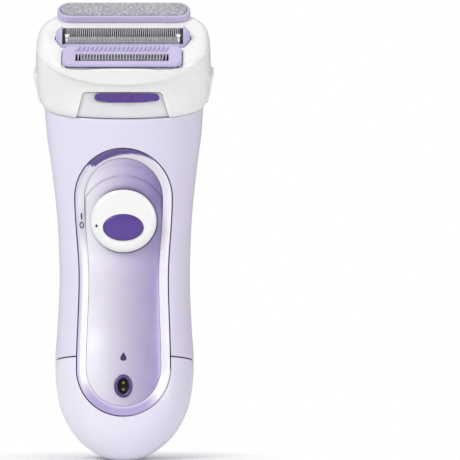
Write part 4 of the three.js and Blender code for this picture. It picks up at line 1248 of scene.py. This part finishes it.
def make_foil():
    rest = FOIL_RUN - MESH_RUN - SLIT_RUN - 0.08
    front = foil_band(88, 6, MESH_RUN, 0.22, 0.22, 0.02)
    slits = foil_band(55, 1, SLIT_RUN, 0.45, SLIT_RUN - 0.35, MESH_RUN + 0.03)
    back = foil_band(88, 7, rest, 0.25, 0.25, MESH_RUN + SLIT_RUN + 0.04)
    make("foil_screen", joined(front, slits, back), "cassette", "shaving_steel", "foil", 60)
    # the foil's plain ends take the near-black steel: painted shade
    make("foil_rims", joined(foil_rim(-1), foil_rim(1)), "cassette", "shaving_steel",
         material=SHADED_STEEL)

    well = rounded_box(FOIL_W / 2 - 0.6, CASSETTE_D / 2 - 1.4, 0.4, 4, 2) + [0, FOIL_V]
    cup = loft([flat_ring(pointed(-d), FACE, u)
                for d, u in ((0.1, 0.4 - CASSETTE_H), (0, 0.5 - CASSETTE_H), (0, 0.15),
                             (0.12, 0.4))])
    hole = loft([flat_ring(well, FACE, -CASSETTE_H - 2), flat_ring(well, FACE, 2)])
    make("foil_cup", cut(cup, hole), "cassette", "trim_lilac", "foil_frame", 40)

    for side, sign in (("left", -1), ("right", 1)):
        make(f"foil_cap_{side}", foil_cap(sign), "cassette", "trim_lilac", f"foil_end_{side}", 30)
        make(f"foil_clip_{side}", foil_clip(sign), "cassette", "white_plastic")


def make_springs():
    """The two springs under the foil's cassette."""
    r, wire, turns, per_turn, around = 1.1, 0.25, 3.5, 28, 10
    to_floor = np.linalg.inv(head_frame(FLOOR_SHARE)) @ FACE
    start, end = (to_floor @ [0, FOIL_V, 0, 1])[2], (to_floor @ [0, FOIL_V, 1, 1])[2]
    low, high = start / (start - end) + 0.1, 0.4 - CASSETTE_H - 0.1
    climb = low - high + 2 * wire
    rise = climb / (2 * math.pi * turns)
    a = np.linspace(0, 2 * math.pi, around, endpoint=False)[:, None]
    for side, sign in (("left", -1), ("right", 1)):
        place = shifted(FACE, sign * ((FOIL_W + CASSETTE_W) / 4 - 0.2), FOIL_V, 0)
        rows = []
        for t in np.linspace(0, 1, int(turns * per_turn) + 1):
            turn = 2 * math.pi * turns * t
            out = np.array([math.cos(turn), math.sin(turn), 0])
            across = np.array([-math.sin(turn), math.cos(turn), 0])
            up = np.cross((across * r + [0, 0, rise]) / math.hypot(r, rise), out)
            middle = out * r + [0, 0, high - wire + climb * t]
            rows.append(place_points(place, middle + wire * (np.cos(a) * out + np.sin(a) * up)))
        spring = make(f"spring_{side}", loft(rows), "head", "plain_steel",
                      f"foil_spring_{side}", 50)
        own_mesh(spring)


# ---------- trimmer ----------
def make_guard():
    middle, half_v = (GUARD_FRONT + GUARD_BACK) / 2, (GUARD_BACK - GUARD_FRONT) / 2
    well_middle, well_half = (WELL_FRONT + WELL_BACK) / 2, (WELL_BACK - WELL_FRONT) / 2

    def outer(d):
        return rounded_box(GUARD_W / 2 - d, half_v - d, 2.6 - d * 0.8, 12, 30) + [0, middle]

    def inner(d):
        return rounded_box(COMB_W / 2 + 0.4 + d, well_half + d, 0.35, 12, 30) + [0, well_middle]

    rows = [flat_ring(o, FACE, u) for o, u in (
        (outer(0.1), 0.0), (outer(0), 0.12), (outer(0), GUARD_T - 0.55),
        (outer(0.1), GUARD_T - 0.24), (outer(0.32), GUARD_T - 0.06), (outer(0.62), GUARD_T),
        (inner(0.5), GUARD_T), (inner(0.2), GUARD_T - 0.06), (inner(0), GUARD_T - 0.25),
        (inner(0), 0.0))]
    skirt_out = rounded_box(GUARD_W / 2 - 1.5, 4.25, 1.0, 12, 30) + [0, GUARD_FRONT + 6.6]
    skirt_in = rounded_box(GUARD_W / 2 - 2.7, 3.4, 0.6, 12, 30) + [0, GUARD_FRONT + 6.6]
    skirt = sweep([flat_ring(o, FACE, u) for o, u in (
        (skirt_out, 0.05), (skirt_out, -4.5), (skirt_in, -4.5), (skirt_in, 0.05))])

    # slanted ribs on the top, tapering to the back
    base = np.array([[-0.36, 0], [0.36, 0], [1.26, 3.0], [0.54, 3.0]])
    crest = np.array([[-0.12, 0.18], [0.12, 0.18], [1.00, 2.85], [0.80, 2.85]])
    corners = np.vstack([np.column_stack([base, np.zeros(4)]),
                         np.column_stack([crest, np.full(4, 0.85)])])
    sides = [(k, (k + 1) % 4, 4 + (k + 1) % 4, 4 + k) for k in range(4)]
    count, pitch = 21, COMB_W / 20.5
    points, faces = repeated((corners, [(0, 3, 2, 1), (4, 5, 6, 7)] + sides), Columns=count,
                             Rows=1, Step_X=pitch, Step_Y=1.0)
    points = points + [-(count - 1) * pitch / 2 - 0.4, WELL_BACK + 0.5, GUARD_T - 0.12]
    ribs = place_points(FACE, points), faces
    make("guard_plate", joined(sweep(rows), skirt, ribs), "trimmer", "trim_lilac",
         "trimmer_guard", 38)


def teeth(width, count, back, front, low, high, tip=0.16):
    """A comb: a bar with pointed, chamfered teeth to the front."""
    pitch, bar_v, overlap = width / count, 1.3, 1.2
    bar = block((-width / 2, width / 2), (back - bar_v, back), (low, high), FACE)
    root, point, run = pitch * 0.34, pitch * tip, back - overlap - front
    flat = np.array([[-root, 0], [-root * 0.9, -run * 0.35], [-point, -run + 0.25], [0, -run],
                     [point, -run + 0.25], [root * 0.9, -run * 0.35], [root, 0]])
    n = len(flat)
    top = flat * [0.6, 1]
    top[1:-1, 1] += 0.12
    rows = np.vstack([np.column_stack([outline, np.full(n, (high - low) * share)])
                      for outline, share in ((flat, 0), (flat, 0.55), (top, 1))])
    faces = [tuple(range(n)), tuple(range(2 * n, 3 * n))]
    for r in (0, n):
        faces += [(r + k, r + (k + 1) % n, r + n + (k + 1) % n, r + n + k) for k in range(n)]
    points, faces = repeated((rows, faces), Columns=count, Rows=1, Step_X=pitch, Step_Y=1.0)
    points = points + [-(count - 1) * pitch / 2, back - overlap, low]
    return joined(bar, (place_points(FACE, points), faces))


def make_combs():
    fixed = teeth(COMB_W, 30, WELL_BACK + 0.85, WELL_FRONT + 0.15, 0.75, 1.25)
    make("front_comb", fixed, "trimmer", "shaving_steel", "fixed_comb", 30)
    moving = teeth(COMB_W - 3, 27, WELL_BACK - 0.25, WELL_FRONT + 0.9, 0.05, 0.6, 0.22)
    make("moving_comb", moving, "trimmer_cutter", "shaving_steel", "trimmer_blade", 30,
         SHADED_COMB_STEEL)


# ---------- exfoliator ----------
def make_exfoliator():
    place = shifted(FACE, 0, PAD_V, 0)
    full = PAD_DEEP / 2

    def stadium(grow):
        r = full + grow
        return rounded_box(PAD_LONG / 2 + grow, r, r, 18, 24)

    tray = [(PAD_FRAME - d, u) for d, u in ((0.5, 0.1), (0.12, 0.18), (0, 0.4), (0, 2.0),
                                            (0.06, 2.33), (0.25, 2.57), (0.55, 2.65), (0.8, 2.6))]
    tray += [(0.18, 2.45), (FIT / 2, 2.2), (FIT / 2, 1.0)]
    make("pad_tray", loft([flat_ring(stadium(grow), place, u) for grow, u in tray]),
         "exfoliator", "trim_lilac", "exfoliator_frame", 50)

    profile = [(0, 1.1), (0, 2.65), (0.05, 2.86), (0.2, 3.02), (0.5, 3.14), (1.0, 3.22),
               (1.7, 3.27), (2.6, 3.30)]
    pad = loft([flat_ring(stadium(-d), place, u) for d, u in profile])
    grain = np.vstack([np.eye(3), -np.eye(3)])[[0, 3, 1, 4, 2, 5]] * 0.15
    grain_faces = [(0, 2, 4), (2, 1, 4), (1, 3, 4), (3, 0, 4), (2, 0, 5), (1, 2, 5), (3, 1, 5),
                   (0, 3, 5)]
    columns, lines, step = 128, 21, 0.335
    points = repeated((grain, grain_faces), Columns=columns, Rows=lines, Step_X=step,
                      Step_Y=step, Stagger=step / 2, Jitter=step * 0.42, Turn=6.28,
                      Smallest=0.55, Largest=1.15, Seed=12)[0]
    points = (points - [(columns - 1) * step / 2, (lines - 1) * step / 2, 0]).reshape(-1, 6, 3)
    # each grain rises to the pad's surface, and those past its edge go
    middle = points.mean(1)
    past = np.maximum(np.abs(middle[:, 0]) - (PAD_LONG / 2 - full), 0)
    inside = full - np.hypot(past, middle[:, 1])
    points[:, :, 2] += np.interp(inside, *np.array(profile[1:]).T)[:, None]
    points = points[inside > 0.12]
    faces = [tuple(i + 6 * k for i in face) for k in range(len(points)) for face in grain_faces]
    grains = place_points(place, points.reshape(-1, 3)), faces
    make("grit_pad", joined(pad, grains), "exfoliator", "abrasive_pad", "exfoliator_pad", 30)


# ---------- everything ----------
make_shells()
BEZEL_PIECE, PANEL_PIECE = make_panel()
make_switch()
make_marks(BEZEL_PIECE, PANEL_PIECE)
make_head_shell()
make_notch_pad()
make_lock()
make_buttons()
make_foil()
make_springs()
make_guard()
make_combs()
make_exfoliator()

# finishes of the pieces inside, and of the ones that need no other change
CARRIED = {
    "inner_white": ["head_floor", "neck_collar", "motor_deck", "swing_bridge",
                    "cutter_carrier", "cell_rack"],
    "black_plastic": ["socket_insulator", "micro_switch", "motor_end_cap"],
    "circuit_laminate": ["circuit_board"],
    "seal_rubber": ["seam_gasket", "drive_seal"],
    "shaving_steel": ["cutter_blades"],
    "plain_steel": ["motor_can", "motor_shaft", "crank_pin", "drive_pin", "deck_screw_left",
                    "deck_screw_right"],
    "contact_brass": ["socket_pin_upper", "socket_pin_lower", "cell_contact_left",
                      "cell_contact_right", "cell_bridge", "crank_disc"],
    "cell_sleeve": ["cell_left", "cell_right"],
}
for slot_name, names in CARRIED.items():
    for name in names:
        for surface in frame["nodes"][name].material_slots:
            # the cutter blades take the near-black steel instead: painted shade for the dark inside
            # under the foil
            surface.material = SHADED_STEEL if name == "cutter_blades" else MAT[slot_name]


# ---------- camera, floor and light ----------
FLOOR_SIZE = 6                          # half the floor's side, in metres
FLOOR_NEAR, FLOOR_FAR = 0.008, 0.065    # where the floor's shade starts and ends fading
CAMERA_PLACE, CAMERA_VIEW_W, SENSOR_W = (0.0362, -1.3, 0.0783), 0.157, 36
AIM = (0, 0, 0.085)
LIGHTS = [("key_light", (-0.75, -0.95, 0.95), (0.7, 0.7), 12),      # place, size, watts
          ("fill_light", (0.95, -0.8, 0.45), (0.5, 0.9), 5.0),
          ("top_light", (0.0, 0.25, 1.2), (1.2, 1.2), 2.5)]
AIR_SEEN, AIR_LIT = ((1, 1, 1), 1.0), ((0.97, 0.97, 1), 0.42)       # colour and strength


def soft_light(name, place, size, watts):
    light = bpy.data.lights.new(name, "AREA")
    light.shape, light.energy = "RECTANGLE", watts
    light.size, light.size_y = size
    obj = added_object(name, light)
    obj.location = place
    obj.rotation_euler = (Vector(AIM) - obj.location).to_track_quat("-Z", "Y").to_euler()


def air(tree, tone, strength):
    node = tree.nodes.new("ShaderNodeBackground")
    feed(tree, node.inputs["Color"], tone)
    feed(tree, node.inputs["Strength"], strength)
    return node


def make_stage():
    scene = bpy.context.scene
    floor = bpy.data.meshes.new("studio_floor")
    far = FLOOR_SIZE
    floor.from_pydata([(-far, -far, 0), (far, -far, 0), (far, far, 0), (-far, far, 0)], [],
                      [(0, 1, 2, 3)])
    n = Nodes("studio_white")
    base = n.mix(n.range(n.noise(3, 2), 0.3, 0.7), colour("FAFAFA"), colour("F6F6F7"))
    n.finish(base, 0.8, n.noise(80, 2), 0.00002)
    # away from the object the floor fades into the white of the air
    away = n.add("ShaderNodeVectorMath", operation="LENGTH")
    n.link(n.place, away.inputs[0])
    fade = n.range(away.outputs["Value"], FLOOR_NEAR, FLOOR_FAR)
    fade.node.interpolation_type = "SMOOTHSTEP"
    seen = n.math("MULTIPLY", fade, n.add("ShaderNodeLightPath").outputs["Is Camera Ray"])
    blend = n.add("ShaderNodeMixShader")
    n.link(seen, blend.inputs[0])
    n.link(n.shader.outputs[0], blend.inputs[1])
    n.link(n.add("ShaderNodeEmission").outputs[0], blend.inputs[2])
    n.link(blend.outputs[0], n.out.inputs["Surface"])
    floor.materials.append(n.material)
    added_object("studio_floor", floor)

    for light in LIGHTS:
        soft_light(*light)

    world = bpy.data.worlds.new("studio_air")
    world.use_nodes = True
    tree = world.node_tree
    tree.nodes.clear()
    seen, lit = air(tree, *AIR_SEEN), air(tree, *AIR_LIT)
    ray, pick = tree.nodes.new("ShaderNodeLightPath"), tree.nodes.new("ShaderNodeMixShader")
    out = tree.nodes.new("ShaderNodeOutputWorld")
    tree.links.new(ray.outputs["Is Camera Ray"], pick.inputs[0])
    tree.links.new(lit.outputs[0], pick.inputs[1])
    tree.links.new(seen.outputs[0], pick.inputs[2])
    tree.links.new(pick.outputs[0], out.inputs["Surface"])
    scene.world = world

    lens = bpy.data.cameras.new("main_camera")
    lens.sensor_width, lens.lens = SENSOR_W, SENSOR_W * -CAMERA_PLACE[1] / CAMERA_VIEW_W
    camera = added_object("main_camera", lens)
    camera.location = CAMERA_PLACE
    camera.rotation_euler = (math.pi / 2, 0, 0)
    scene.camera = camera
    scene.view_settings.view_transform = "Standard"


make_stage()
